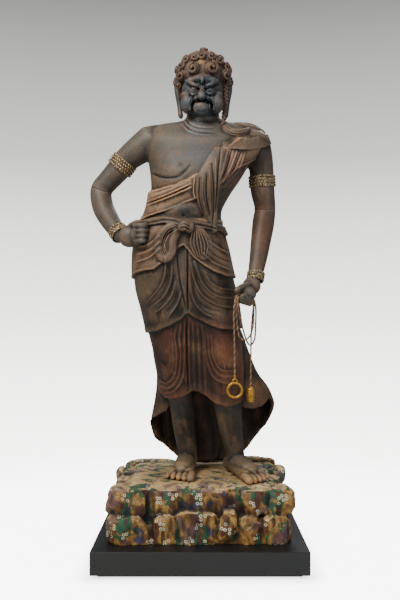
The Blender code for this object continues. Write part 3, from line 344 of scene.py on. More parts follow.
def silkMaterial(name, shade):
    # twisted silk floss, dyed and dusty: soft sheen, with fine dark lines between its threads
    material, tree, shader = newMaterial(name)
    spot = node(tree, "ShaderNodeTexCoord").outputs["Object"]
    threads = node(tree, "ShaderNodeTexNoise", {"Vector": spot, "Scale": repeats(1.11), "Detail": 2.0})
    soil = node(tree, "ShaderNodeTexNoise", {"Vector": spot, "Scale": repeats(26.3), "Detail": 2.0})
    fine = node(tree, "ShaderNodeMapRange", {
        "Value": threads.outputs["Fac"], "From Min": 0.35, "From Max": 0.7, "To Min": 0.62, "To Max": 1.15})
    dusty = node(tree, "ShaderNodeMapRange", {
        "Value": soil.outputs["Fac"], "From Min": 0.3, "From Max": 0.7, "To Min": 0.75, "To Max": 1.1})
    depth = node(tree, "ShaderNodeMath", {0: fine.outputs[0], 1: dusty.outputs[0]}, operation="MULTIPLY")
    mixed = node(tree, "ShaderNodeMix", {0: 1.0, 6: colour(shade)}, data_type="RGBA", blend_type="MULTIPLY")
    tree.links.new(depth.outputs[0], mixed.inputs[7])
    bump = node(tree, "ShaderNodeBump", {
        "Height": threads.outputs["Fac"], "Strength": 0.5, "Distance": 0.0004})
    tree.links.new(mixed.outputs[2], shader.inputs["Base Color"])
    tree.links.new(bump.outputs["Normal"], shader.inputs["Normal"])
    shader.inputs["Roughness"].default_value = 0.72
    shader.inputs["Sheen Weight"].default_value = 0.25
    return material


# Gilt fittings of the lasso

ringSetup = {
    "gap": 0.0003,
    "ringRadius": 0.0262,
    "ringSection": 0.005,
    "eyeRadius": 0.0075,
    "eyeSection": 0.0028,
    "capLength": 0.017,
    "capRadius": 0.0048,
}
weightSetup = {
    "length": 0.058,
    "radius": 0.0158,
    "ribs": 12,
    "ribbed": (0.96, 0.44),  # shares of the length, from the foot up to the collar
    "ribDepth": 0.09,  # share of the radius
    "gap": 0.0003,
}


def turnedMesh(profile, steps, matrix, ribs=0, ribFrom=0.0, ribTo=0.0, ribDepth=0.0):
    # a profile of (radius, height) spun once about its own upright axis, with ribs between two
    # heights, then put in its place
    bm = bmesh.new()
    points = [bm.verts.new((radius, 0, height)) for radius, height in profile]
    edges = [bm.edges.new(pair) for pair in zip(points, points[1:])]
    bmesh.ops.spin(
        bm, geom=points + edges, cent=(0, 0, 0), axis=(0, 0, 1), angle=2 * math.pi,
        steps=steps, use_merge=True)
    bmesh.ops.remove_doubles(bm, verts=bm.verts, dist=1e-5)
    bmesh.ops.recalc_face_normals(bm, faces=bm.faces)
    for vert in bm.verts:
        if ribs and ribFrom <= vert.co.z <= ribTo:
            turn = math.atan2(vert.co.y, vert.co.x)
            vert.co.xy *= 1 - ribDepth * (0.5 - 0.5 * math.cos(turn * ribs))
    bmesh.ops.transform(bm, matrix=matrix, verts=bm.verts)
    return bm


def circleProfile(centre, radius, count):
    return [
        (centre + radius * math.cos(2 * math.pi * k / count), radius * math.sin(2 * math.pi * k / count))
        for k in range(count + 1)
    ]


def finishPiece(name, bm, material, cadNode):
    for face in bm.faces:
        face.smooth = True
    obj = addObject(name, meshOf(bm, name))
    obj.data.materials.append(material)
    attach(obj, "root")
    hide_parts(cadNode)
    return obj


def makeRing(material):
    top = Vector(cordCourse(2)[0]) - Vector((0, 0, ringSetup["gap"]))
    eyeMiddle = top.z - ringSetup["capLength"] - ringSetup["eyeRadius"] + ringSetup["eyeSection"]
    ringMiddle = eyeMiddle - ringSetup["eyeRadius"] - ringSetup["ringRadius"]
    upright = Matrix.Rotation(math.radians(90), 4, "X")
    bm = bmesh.new()
    joinInto(bm, turnedMesh(
        circleProfile(ringSetup["ringRadius"], ringSetup["ringSection"], 16), 64,
        Matrix.Translation((top.x, top.y, ringMiddle)) @ upright))
    joinInto(bm, turnedMesh(
        circleProfile(ringSetup["eyeRadius"], ringSetup["eyeSection"], 12), 32,
        Matrix.Translation((top.x, top.y, eyeMiddle)) @ upright))
    # the cap that the cord's end goes into, with two raised collars
    r, length = ringSetup["capRadius"], ringSetup["capLength"]
    shares = ((0, 0), (0.8, 0), (0.98, -0.04), (1, -0.12), (0.86, -0.18), (0.84, -0.5), (0.98, -0.58),
              (0.98, -0.68), (0.72, -0.76), (0.6, -0.96), (0.4, -1.0), (0, -1.0))
    joinInto(bm, turnedMesh(
        [(a * r, h * length) for a, h in shares], 24, Matrix.Translation(top)))
    return finishPiece("lassoRing", bm, material, "lasso_ring")


def makeWeight(material):
    top = Vector(cordCourse(2)[-1]) - Vector((0, 0, weightSetup["gap"]))
    r, length = weightSetup["radius"], weightSetup["length"]
    shares = ((0, 0), (0.2, 0), (0.3, -0.01), (0.34, -0.05), (0.5, -0.06), (0.74, -0.10), (0.9, -0.17),
              (0.95, -0.24), (0.9, -0.29), (0.84, -0.31), (0.98, -0.33), (1, -0.355), (0.98, -0.38),
              (0.86, -0.40), (0.86, -0.43), (0.97, -0.47), (0.93, -0.6), (0.87, -0.8), (0.8, -0.93),
              (0.72, -0.97), (0.6, -1.0), (0.3, -1.0), (0, -1.0))
    ribFrom, ribTo = (-share * length for share in weightSetup["ribbed"])
    bm = turnedMesh([(a * r, h * length) for a, h in shares], 72, Matrix.Translation(top),
                    weightSetup["ribs"], ribFrom, ribTo, weightSetup["ribDepth"])
    return finishPiece("lassoWeight", bm, material, "lasso_weight")


def giltMaterial(name, bright, dull, worn):
    # fire-gilt copper: soft bright metal in patches about 8 mm across, browned between them
    material, tree, shader = newMaterial(name)
    spot = node(tree, "ShaderNodeTexCoord").outputs["Object"]
    patch = node(tree, "ShaderNodeTexNoise", {"Vector": spot, "Scale": repeats(8.33), "Detail": 4.0})
    blend = node(tree, "ShaderNodeMapRange", {
        "Value": patch.outputs["Fac"], "From Min": worn - 0.12, "From Max": worn + 0.12})
    mixed = node(tree, "ShaderNodeMix", {6: colour(dull), 7: colour(bright)}, data_type="RGBA")
    tree.links.new(blend.outputs[0], mixed.inputs[0])
    rough = node(tree, "ShaderNodeMapRange", {
        "Value": blend.outputs[0], "To Min": 0.6, "To Max": 0.42})
    pits = node(tree, "ShaderNodeTexNoise", {"Vector": spot, "Scale": repeats(1.43), "Detail": 3.0})
    bump = node(tree, "ShaderNodeBump", {
        "Height": pits.outputs["Fac"], "Strength": 0.35, "Distance": 0.0004})
    tree.links.new(mixed.outputs[2], shader.inputs["Base Color"])
    tree.links.new(rough.outputs[0], shader.inputs["Roughness"])
    tree.links.new(bump.outputs["Normal"], shader.inputs["Normal"])
    shader.inputs["Metallic"].default_value = 0.85
    return material


# Armlets and bracelets: a thin band with rows of beads

bands = {
    # name: (centre on the chart, direction along the limb, limb radius in parts, length, thickness, rows)
    "right_armlet": ((122.4, 164.9, 5.6), (-0.63, 0.12, -0.77), 12.4, 0.044, 0.006, 4),
    "left_armlet": ((262.1, 181.5, 2.6), (0.06, 0.06, -1.0), 12.1, 0.044, 0.006, 4),
    "right_bracelet": ((119.0, 232.8, -16.8), (0.50, -0.56, -0.66), 8.6, 0.034, 0.005, 3),
    "left_bracelet": ((255.6, 276.5, -18.6), (-0.16, -0.34, -0.93), 7.6, 0.034, 0.005, 3),
}


def makeBand(cadName, material):
    centre, along, limb, length, thickness, rows = bands[cadName]
    inner = limb * part + 0.0004
    half = length / 2
    matrix = Matrix.Translation(inMetres(place(*centre)))
    matrix @= Vector(along).to_track_quat("Z", "Y").to_matrix().to_4x4()
    base = inner + 0.3 * thickness
    profile = [(inner, half), (base, half), (base, -half), (inner, -half), (inner, half)]
    bm = turnedMesh(profile, 56, matrix)
    # beads, each a small ball pressed into the band, and a thin wire round each edge of the band
    bead = length / rows / 2
    for row in range(rows):
        height = half - length * (row + 0.5) / rows
        radius = inner + thickness - bead * 0.62
        count = int(2 * math.pi * radius / (1.9 * bead))
        for k in range(count):
            turn = 2 * math.pi * (k + 0.5 * (row % 2)) / count
            spot = Matrix.Rotation(turn, 4, "Z") @ Matrix.Translation((radius, 0, height))
            shape = Matrix.Diagonal((bead * 0.62, bead * 0.97, bead * 0.9, 1))
            bmesh.ops.create_uvsphere(
                bm, u_segments=8, v_segments=5, radius=1, matrix=matrix @ spot @ shape)
    for edge in (-1, 1):
        ring = turnedMesh(
            circleProfile(inner + 0.45 * thickness, 0.3 * thickness, 8), 48,
            matrix @ Matrix.Translation((0, 0, edge * (half - 0.3 * thickness))))
        joinInto(bm, ring)
    name = "".join(word.capitalize() for word in cadName.split("_"))
    return finishPiece(name[0].lower() + name[1:], bm, material, cadName)


# The carved figure. Every form that the solids have is here again, on a finer grain.


class Form:
    # an upright body given by sections (down, left, right, front, back), in parts
    def __init__(self, sections, squareness=0.9, thighs=()):
        table = smoothCurve(sections, 6)
        table = table[np.argsort(table[:, 0])]
        self.downs = table[:, 0]
        self.sides = table[:, 1:]
        self.squareness = squareness
        self.thighs = thighs

    def section(self, down):
        return [np.interp(down, self.downs, self.sides[:, k]) for k in range(4)]

    def spot(self, angle, down, out=0.0):
        left, right, front, back = self.section(down)
        s, c = math.sin(angle), math.cos(angle)
        shareX = math.copysign(abs(s) ** self.squareness, s)
        shareY = math.copysign(abs(c) ** self.squareness, c)
        if self.thighs and c > 0:
            swell = np.interp(down, *self.thighs)
            shareY *= 1 - swell * math.cos(4 * angle) * c
        across = (left + right) / 2 + ((right - left) / 2 + out) * shareX
        depth = (front + back) / 2 - ((back - front) / 2 + out) * shareY
        return across, down, depth

    def point(self, angle, down, out=0.0):
        return place(*self.spot(angle, down, out))

    def angleOf(self, across, down):
        left, right, _, _ = self.section(down)
        share = (across - (left + right) / 2) / ((right - left) / 2)
        share = max(-1.0, min(1.0, share))
        return math.asin(math.copysign(abs(share) ** (1 / self.squareness), share))

    def edge(self, frontPoints, behind):
        # an edge round the form: chart points in front, and (degrees, down) pairs elsewhere
        pairs = [(math.degrees(self.angleOf(a, d)), d) for a, d in frontPoints]
        pairs += list(behind)
        pairs.sort()
        angles, downs = zip(*pairs)
        return lambda angle: float(np.interp(math.degrees(angle), angles, downs, period=360))


forms = {
    "trunk": Form(
        [(118, 187, 220, -15, 13), (121.6, 180, 226, -17, 15), (124, 160, 243, -19, 18),
         (128, 151, 253, -22, 22), (136, 147, 259, -28, 27), (147, 146, 260, -32, 30),
         (160, 148, 252, -37, 31), (172, 150, 245, -40, 31), (182, 151, 239, -39, 29),
         (192, 151, 232, -36, 28), (202, 149.5, 226, -34, 27), (212, 147, 221.5, -34, 28),
         (224, 141, 222, -36, 31), (240, 138, 226, -37, 35), (262, 137, 229, -37, 38)],
        squareness=0.82),
    "hips": Form(
        [(212, 149, 219, -34, 29), (224, 144, 218, -37, 32), (236, 140, 221, -38, 36),
         (250, 137, 224.5, -39, 39), (265, 136.5, 227.5, -40, 41), (278, 137, 230.5, -40, 41),
         (291, 138.5, 234, -40, 40), (304, 142, 237, -39, 38), (317, 145, 239, -38, 36),
         (331, 148, 240.5, -37, 34), (353, 153.5, 243, -37, 32), (368, 156, 244, -36, 31),
         (382, 157.5, 244.5, -35, 30), (396, 159, 244, -34, 30), (410, 160, 242.5, -33, 30)],
        squareness=0.88,
        thighs=((225, 270, 330, 380, 415), (0.0, 0.06, 0.16, 0.2, 0.16))),
    "train": Form(
        [(318, 150, 236, -20, 33), (336, 152, 243, -20, 37), (355, 154, 250, -18, 40),
         (373, 156, 257.5, -15, 43), (386, 156, 267, -13, 45), (398, 154.5, 272.5, -12, 46),
         (406, 153, 274, -12, 47), (422, 150, 272, -12, 48), (440, 149, 268, -12, 48),
         (464, 150, 262, -12, 46)],
        squareness=0.95),
}


def addBody(bm, form, top, bottom, sides=72, step=2.0):
    count = max(2, int((bottom - top) / step))
    angles = [2 * math.pi * k / sides for k in range(sides)]
    downs = np.linspace(top, bottom, count + 1)
    addLoft(bm, [[form.point(angle, down) for angle in angles] for down in downs])


def addLayer(bm, form, top, hem, out, lip=3.0, hollow=10.0, sides=144, steps=18, crisp=0.5):
    # cloth over a form, from an upper edge to a hem; both may vary with the angle
    angles = [2 * math.pi * k / sides for k in range(sides)]
    upper = top if callable(top) else (lambda angle: top)

    def ring(share, offset, lift=0.0, inward=1.0):
        points = []
        for angle in angles:
            down = upper(angle) + (hem(angle) - upper(angle)) * share - lift
            point = form.point(angle, down, offset)
            left, right, front, back = form.section(down)
            axis = place((left + right) / 2, down, (front + back) / 2)
            points.append(axis.lerp(point, inward))
        return points

    rings = [ring(0.0, out - lip, inward=0.3), ring(0.0, out - lip)]
    for share in np.linspace(0.0, 1.0, steps + 1)[1:-1]:
        rings.append(ring(share, out))
    rings.append(ring(1.0, out + 0.5, lift=1.6))
    rings.append(ring(1.0, out + 0.5, lift=crisp))
    rings.append(ring(1.0, out - lip * 0.3))
    rings.append(ring(1.0, out - lip, lift=1.0))
    rings.append(ring(1.0, out - lip, lift=hollow))
    rings.append(ring(1.0, out - lip, lift=hollow, inward=0.3))
    addLoft(bm, rings)


def addShell(bm, form, top, hem, thickness, roof, sides=144, steps=24):
    # a hanging sheet of cloth, hollow under a roof at that line
    angles = [2 * math.pi * k / sides for k in range(sides)]

    def ring(line, offset, inward=1.0):
        points = []
        for angle in angles:
            down = line(angle)
            left, right, front, back = form.section(down)
            axis = place((left + right) / 2, down, (front + back) / 2)
            points.append(axis.lerp(form.point(angle, down, offset), inward))
        return points

    rings = [ring(lambda a: top, 0.0, inward=0.3), ring(lambda a: top, 0.0)]
    for share in np.linspace(0.0, 1.0, steps + 1)[1:]:
        rings.append(ring(lambda a: top + (hem(a) - top) * share, 0.0))
    for share in np.linspace(0.0, 1.0, steps + 1)[1:]:
        rings.append(ring(lambda a: hem(a) + (min(roof, hem(a)) - hem(a)) * share, -thickness))
    rings.append(ring(lambda a: min(roof, hem(a)), -thickness, inward=0.3))
    addLoft(bm, rings)


def hugging(form, chartPoints, out, radius):
    # stations of a band that lies on the front of a form
    found = []
    for across, down in chartPoints:
        found.append((*form.spot(form.angleOf(across, down), down, out), radius))
    return found


def addPanel(bm, upper, lower, thickness, core, rows=10):
    # a stiff cloth from an upper to a lower edge of as many spots, thickened towards a core
    upper = smoothCurve([place(*spot) for spot in upper], 6)
    lower = smoothCurve([place(*spot) for spot in lower], 6)
    centre = place(*core)
    rings = []
    for a, b in zip(upper, lower):
        column = [Vector(a).lerp(Vector(b), row / rows) for row in range(rows + 1)]
        inner = [point + (centre - point).normalized() * thickness for point in column]
        rings.append(column + inner[::-1])
    addLoft(bm, rings)


def addTrunk(bm):
    trunk = forms["trunk"]
    addBody(bm, trunk, 119, 262)
    addTube(bm, [(203, 104, -4, 15), (203, 120, 0, 17), (203, 134, 2, 20)], sides=32)
    for down, radius in ((121, 18.6), (127.5, 19.6)):  # two creases of the neck, as low rolls
        addBall(bm, 203, down, -0.5, (radius, radius * 0.95, 3.2), segments=40)
    addBall(bm, 172, 158, -14.0, (20, 13, 19))
    addBall(bm, 230, 159, -14.5, (20, 13, 18))
    addBall(bm, 184, 212, -22, (26, 16, 18))


def addArms(bm):
    addTube(bm, [
        (152, 141, 2, 16.5), (139, 150, 3, 14.5), (126.5, 160, 5, 12.6), (118.3, 170, 6.5, 12),
        (107.5, 182, 8, 11), (101, 191, 8.5, 10.8), (103, 207, 4, 10.8), (109, 219, -4, 10),
        (115, 228, -12, 9), (121.5, 235.5, -19, 8.2)], sides=32)
    addTube(bm, [
        (255, 144, 2, 15.5), (259.5, 157, 2, 13.2), (261.5, 172, 2, 12.2), (262.5, 190, 3, 12.2),
        (265, 208, 4, 10.6), (263.5, 222, 2, 11.2), (261, 240, -5, 10.2), (258, 260, -13, 8.8),
        (255, 276, -20, 7.4)], sides=32)


def addFinger(bm, points, radius):
    addTube(bm, [(*point, radius) for point in points], sides=14, steps=5)


def addFists(bm):
    addBall(bm, 130.5, 236, -25, (12, 10, 11), turn=-25)
    addBall(bm, 137, 234.5, -28, (8, 9.5, 11))
    for k in range(4):
        down = 225.5 + 5.1 * k
        reach = 146.8 - 0.8 * abs(k - 1)
        addFinger(bm, [(135, down, -34), (142.5, down, -38), (reach, down - 0.5, -33)], 2.75 - 0.12 * k)
    addFinger(bm, [(130, 226, -30), (137, 222.5, -32), (144, 223.5, -31)], 2.9)
    addBall(bm, 251.5, 286, -24, (9, 8, 9.5), turn=35)
    addBall(bm, 246.5, 292.5, -31, (10, 7, 7.5), turn=22)
    start, end = fistBore
    for k in range(4):
        middle = Vector(start).lerp(Vector(end), 0.23 + 0.2 * k)
        knuckle = middle + Vector((1.0, 0.5, -7.5))
        bend = middle + Vector((-0.6, 6.2 - 0.4 * k, -2.0))
        tip = middle + Vector((-1.5, 3.0, 6.0))
        addFinger(bm, [knuckle, bend, tip], 2.6)
    addFinger(bm, [(250, 284, -29), (242.5, 286.5, -36), (237, 290, -41)], 3.0)


def addLegs(bm):
    for stations in (
        [(179, 385, -2, 15), (181.3, 399, 0, 13), (184.5, 430, 2, 11), (187.5, 450, 3, 9.4),
         (188, 462, 4, 9.6)],
        [(226, 385, -8, 15.5), (228, 408, -8, 13.6), (231, 430, -7, 11.6), (234.5, 450, -6, 9.6),
         (235.5, 462, -5, 9.8)],
    ):
        addTube(bm, stations, sides=28)


def addFeet(bm):
    # heel, toe line, half width of the toe line, and the side on which the great toe lies
    feet = (((188, 13), (180, -40), 14, 1), ((231, 4), (254, -48), 14, -1))
    sole = chart["soleLine"]
    for heel, toes, spread, inner in feet:
        heel, toes = Vector(heel), Vector(toes)
        ahead = (toes - heel).normalized()
        aside = Vector((-ahead.y, ahead.x))
        if aside.x < 0:
            aside = -aside
        length = (toes - heel).length

        def at(forward, sideways, down, radius):
            spot = heel + ahead * forward + aside * sideways
            return (spot.x, down, spot.y, radius)

        addTube(bm, [
            at(0, 0, sole - 8, 8.5), at(length * 0.25, 0, sole - 11, 9.5),
            at(length * 0.5, 0, sole - 9, 9.5), at(length * 0.72, 0, sole - 6, 9.0)],
            sides=24, placing=placeLow)
        for sideways in (-0.5, 0.0, 0.5):
            addTube(bm, [
                at(length * 0.3, sideways * spread * 0.5, sole - 8, 6.5),
                at(length * 0.85, sideways * spread * 1.1, sole - 4.0, 5.4)],
                sides=18, placing=placeLow)
        for k in range(5):
            sideways = inner * spread * (0.86 - 0.42 * k)
            forward = length + (7.0, 7.5, 6.0, 3.0, -1.0)[k]
            radius = (3.9, 2.8, 2.6, 2.5, 2.3)[k]
            addTube(bm, [
                at(forward - 12, sideways * 0.95, sole - 4.6, radius),
                at(forward - 5, sideways, sole - 4.4, radius),
                at(forward, sideways, sole - 2.8, radius * 0.95)], sides=14, placing=placeLow)


def addInnerSkirt(bm):
    hips = forms["hips"]
    hem = hips.edge(
        [(160, 392), (165, 398), (174, 399.5), (185, 396), (192.5, 391),
         (199, 392), (206, 396), (214, 403), (226, 407.5), (238, 404)],
        [(90, 398), (135, 392), (180, 390), (-135, 388), (-90, 388)])
    addLayer(bm, hips, 222, hem, 0.0, hollow=9)


def addMiddleSkirt(bm):
    hips = forms["hips"]
    hem = hips.edge(
        [(146, 333), (158.5, 331), (171, 326), (181.5, 320), (187.5, 313),
         (195, 318), (208, 325), (219, 329), (233, 330)],
        [(90, 328), (135, 326), (180, 326), (-135, 328), (-90, 333)])
    addLayer(bm, hips, 220, hem, 2.6)


def addOverfall(bm):
    hips = forms["hips"]
    hem = hips.edge(
        [(133, 277), (140, 273), (148, 270.5), (156, 269.5), (162.5, 264), (172, 254),
         (183, 245), (192, 257), (201, 265), (211, 271.5), (223, 276.5), (231, 277.5)],
        [(90, 276), (135, 280), (180, 283), (-135, 281), (-90, 278)])
    addLayer(bm, hips, 218, hem, 5.0)


def addTrain(bm):
    train = forms["train"]
    hem = train.edge(
        [(166, 411), (176, 372), (220, 372), (243, 408), (253, 409), (262, 406.5)],
        [(72, 397), (90, 403), (104, 416), (120, 430), (140, 448), (160, 461), (180, 464),
         (-160, 461), (-140, 451), (-118, 437), (-100, 427), (-84, 421)])
    addShell(bm, train, 330, hem, 2.6, roof=368)


def addBelt(bm):
    hips = forms["hips"]
    upper = hips.edge([(145, 219), (165, 215.5), (185, 218), (205, 222), (218, 225)],
                      [(90, 226), (180, 222), (-90, 221)])
    lower = hips.edge([(145, 227), (165, 223), (185, 226), (205, 229), (218, 232)],
                      [(90, 233), (180, 229), (-90, 229)])
    addLayer(bm, hips, upper, lower, 7.0, lip=4, hollow=2, steps=4)
    addBall(bm, 184.4, 226, -46, (7, 5.4, 4.8), turn=-24)
    addBall(bm, 189.6, 227, -45.4, (4.6, 4.6, 5.6), turn=20)
    loop = [(180, 225.5), (171, 227), (163.5, 235), (160.5, 246), (163, 256),
            (168.5, 258.5), (173, 252), (174.5, 241), (178, 230)]
    addTube(bm, hugging(hips, loop, 6.5, 3.8), flat=0.62, sides=16)
    leaf = [(190, 228, 4.5), (195, 234, 8), (198.5, 244, 10), (201, 252, 9), (203, 257.5, 5)]
    found = []
    for across, down, radius in leaf:
        found += hugging(hips, [(across, down)], 7.0, radius)
    addTube(bm, found, flat=0.32, sides=24)
    addTube(bm, [(214, 229, -26, 4), (220, 230, -18, 4.4), (226, 234, -12, 2.4)], sides=16)


def addSash(bm):
    trunk = forms["trunk"]
    upper = trunk.edge(
        [(151.5, 190), (161, 187.5), (176, 183), (188, 177.5), (199, 171), (209, 162),
         (222, 146), (236, 134)],
        [(80, 124), (110, 126), (150, 142), (180, 160), (-150, 178), (-110, 190)])
    lower = trunk.edge(
        [(143, 221), (153, 215.5), (166, 211.5), (178, 206.5), (192, 200.5), (206, 192),
         (219, 184), (236, 168)],
        [(80, 160), (110, 164), (150, 184), (180, 200), (-150, 212), (-110, 222)])
    addLayer(bm, trunk, upper, lower, 3.2, lip=3.5, hollow=2, steps=12)


def addShoulderCloth(bm):
    trunk = forms["trunk"]
    # the end of the sash, falling over the front of the chest
    fall = [(220, 150, 7), (213, 165, 9.5), (207, 182, 11.5), (205.5, 200, 10), (208, 216, 6.5),
            (211, 232, 3.0)]
    found = []
    for across, down, radius in fall:
        found += hugging(trunk, [(across, down)], 4.5, radius)
    addTube(bm, found, flat=0.3, sides=28)
    # a flap over the left shoulder, and the rolled cloth lying on it
    addBall(bm, 247, 141, -1, (23, 21, 12), turn=4)
    addPanel(
        bm,
        [(226, 136, -25), (240, 138, -27), (254, 137, -23), (264, 134.5, -13), (268, 134, 2),
         (262, 135, 16), (246, 137, 23)],
        [(222.2, 146.3, -33), (240.7, 149.5, -35), (255, 149, -30), (266, 147, -18),
         (271.5, 143.5, 2), (267, 147, 18), (246, 152, 28)],
        3.5, (246, 150, 0))
    addTube(bm, [(223.5, 126, -14, 3), (227, 130, -21, 4), (235, 133, -25, 3.8),
                 (243, 132.5, -23, 3.6), (248.5, 130, -16, 2.8)], sides=16)
    addTube(bm, [(230, 128, -9, 4), (244, 128, -8, 4.6), (257, 130.5, -5, 3.6)], sides=16)
    addTube(bm, [(234, 126, 4, 4), (250, 128, 7, 5), (262, 133, 6, 3.4)], sides=16)
    addBall(bm, 236, 125.5, -8, (3.2, 3, 3.2), segments=14, rings=10)
    addBall(bm, 242.5, 125.5, -5, (2.2, 3, 3), segments=14, rings=10)


def addFaceForms(bm):
    # the broad masses: skull, brow, cheeks, jaw and chin
    face = chart["faceLine"]
    addBall(bm, 203, 91, -3, (22, 25, 21), segments=40, rings=28)
    addBall(bm, 202.3, 103, -11, (19.8, 17.5, 16.4), segments=36, rings=24)
    addBall(bm, 202.3, 91, -13, (20.2, 15, 16), segments=36, rings=24)
    addBall(bm, face, 80, -22, (13, 8, 5.5))
    for side in (-1, 1):
        addBall(bm, face + side * 14.2, 103.5, -19.5, (7.4, 9, 10.5))
        addBall(bm, face + side * 15.6, 95.5, -19, (5.6, 6.5, 4.6))
        addBall(bm, face + side * 9.5, 80.5, -24.5, (6.4, 5, 3.6))


def addFaceParts(bm):
    # the features on those masses
    face = chart["faceLine"]
    addTube(bm, [(face + 0.4, 87, -28.2, 2.0), (face, 91.5, -31.2, 3.0), (face - 0.2, 95.9, -34.6, 4.3)],
            sides=18)
    addBall(bm, face + 0.2, 79.8, -29.2, (2.5, 2.6, 4.2), segments=16, rings=12)
    addBall(bm, face - 0.6, 107.6, -28.0, (8.0, 6.2, 7.2))  # the lower lip and the chin in one swell
    for side in (-1, 1):

        def beside(distance, down, depth, radius, line=face):
            return (line + side * distance, down, depth, radius)

        addBall(bm, face + side * 4.9, 97.8, -30.6, (3.5, 3.2, 2.7), turn=side * 20, segments=18, rings=12)
        # the folds from the nose round the mouth
        addTube(bm, [beside(9.6, 96.6, -27.4, 1.3), beside(12.0, 101.5, -27.0, 1.9),
                     beside(11.8, 109.5, -25.2, 1.7)], sides=12)
        # bulging eyeballs between thick lids, the left one narrowed
        narrow = 1.0 if side < 0 else 0.7
        addBall(bm, face + side * 8.6, 91.4, -25.8, (4.0, 4, 3.0 * narrow), segments=20, rings=14)
        addTube(bm, [beside(3.8, 91.4, -27.6, 0.8), beside(8.6, 91.4 - 3.2 * narrow, -29.6, 1.1),
                     beside(13.6, 90.8, -25.6, 0.8)], sides=10)
        addTube(bm, [beside(3.8, 92.8, -27.6, 0.7), beside(8.6, 91.6 + 3.2 * narrow, -29.0, 1.0),
                     beside(13.6, 92.2, -25.2, 0.7)], sides=10)
        # knotted brows rising to the temples
        addTube(bm, [beside(3.8, 86.6, -30.0, 1.5), beside(8.2, 84.8, -30.2, 2.3),
                     beside(15.5, 80.8, -25.2, 1.9)], sides=14)


def addFaceSkin(bm):
    addBlended(bm, (addFaceForms,), 0.8, 16)
    addBlended(bm, (addFaceParts,), 0.45, 3)


def addFace(bm):
    ear = chart["earLine"]
    addBlended(bm, (addFaceSkin,), 0.5, 5)
    for side in (-1, 1):

        def beside(distance, down, depth, radius, line=ear):
            return (line + side * distance, down, depth, radius)

        # a long ear, its rim and its lobe
        addTube(bm, [beside(25.6, 83, 0, 2.6), beside(25.6, 92, 1, 3.0),
                     beside(24.0, 105, 1, 2.4), beside(22.6, 115.5, -1, 2.6)],
                flat=1.3, sides=16)
        addTube(bm, [beside(24, 84, -4.5, 1.5), beside(27.2, 81, 2.5, 1.6),
                     beside(27.4, 92, 6, 1.5), beside(24.6, 104, 4, 1.4)], sides=12)
    # a fang at the left corner of the mouth
    addTube(bm, [(209.0, 104.2, -29.6, 1.0), (209.4, 107.8, -29.2, 0.6)], sides=10)


skullSetup = {
    "middle": Vector((203.3, 78.5, 0)),
    "half": Vector((27.6, 28.0, 26.8)),
    # curls seen from the front: across, down, size and the way they wind
    "frontCurls": (
        (193.2, 68.3, 7.0, 1), (211.8, 67.6, 8.0, -1), (180.8, 75.4, 6.6, 1), (226.0, 75.0, 6.8, -1),
        (181.6, 65.6, 5.6, -1), (186.6, 59.4, 5.2, 1), (194.4, 57.4, 5.4, -1), (202.0, 55.8, 5.4, 1),
        (211.2, 56.6, 5.8, -1), (219.6, 60.4, 5.8, 1), (226.4, 66.8, 5.4, -1),
        (178.8, 85.4, 5.0, -1), (228.4, 84.8, 5.0, 1)),
    # rows over the top, sides and back: height angle, number, first and last direction, size
    "curlRows": (
        (74, 3, 0, 240, 5.6), (52, 5, 100, 260, 6.2), (22, 7, 98, 262, 6.4), (-8, 7, 96, 264, 6.2),
        (-34, 6, 100, 260, 6.0), (-56, 4, 120, 240, 5.6)),
}


def curlPlaces():
    # front curls lie where the viewer's line of sight meets the skull
    middle, half = place(*skullSetup["middle"]), skullSetup["half"]
    eye = Vector((0, -chart["viewDistance"], chart["soleLine"] - chart["eyeLine"]))
    found = []
    for across, down, radius, hand in skullSetup["frontCurls"]:
        sight = place(across, down, 0) - eye
        start = Vector([(e - m) / h for e, m, h in zip(eye, middle, half)])
        way = Vector([v / h for v, h in zip(sight, half)])
        inside = start.dot(way) ** 2 - way.dot(way) * (start.dot(start) - 1)
        reach = (-start.dot(way) - math.sqrt(max(inside, 0))) / way.dot(way)
        spot = eye + sight * reach
        outward = Vector([(v - m) / h**2 for v, m, h in zip(spot, middle, half)]).normalized()
        found.append((spot, radius, (outward - sight.normalized() * 0.5).normalized(), hand))
    for height, count, first, last, radius in skullSetup["curlRows"]:
        for k in range(count):
            direction = math.radians(first + (last - first) * k / (count - 1))
            rise = math.radians(height)
            outward = Vector((
                math.cos(rise) * math.sin(direction), -math.cos(rise) * math.cos(direction),
                math.sin(rise)))
            spot = middle + Vector([h * v for h, v in zip(half, outward)])
            found.append((spot, radius, outward, 1 if outward.x < 0 else -1))
    return found


def addCurl(bm, spot, radius, outward, hand, turns=1.4, sides=10):
    # a snail curl: a strand wound to its middle, rising as it goes
    matrix = Matrix.Translation(spot) @ outward.to_track_quat("Z", "Y").to_matrix().to_4x4()
    rings = []
    steps = int(turns * 18)
    for k in range(steps + 1):
        share = k / steps
        turn = hand * 2 * math.pi * turns * share + math.pi / 2
        reach = radius * (0.75 - 0.68 * share)
        middle = Vector((math.cos(turn) * reach, math.sin(turn) * reach, radius * (0.06 + 0.3 * share)))
        section = radius * (0.25 - 0.02 * share)
        outwards = Vector((math.cos(turn), math.sin(turn), 0))
        ring = []
        for j in range(sides):
            around = 2 * math.pi * j / sides
            wide = outwards * math.cos(around) + Vector((0, 0, math.sin(around)))
            ring.append(matrix @ (middle + wide * section))
        rings.append(ring)
    addLoft(bm, rings)
    base = Matrix.Translation((0, 0, -radius * 0.28)) @ Matrix.Diagonal(
        (radius * 0.86, radius * 0.86, radius * 0.5, 1))
    addSphere(bm, matrix @ base, 20, 12)


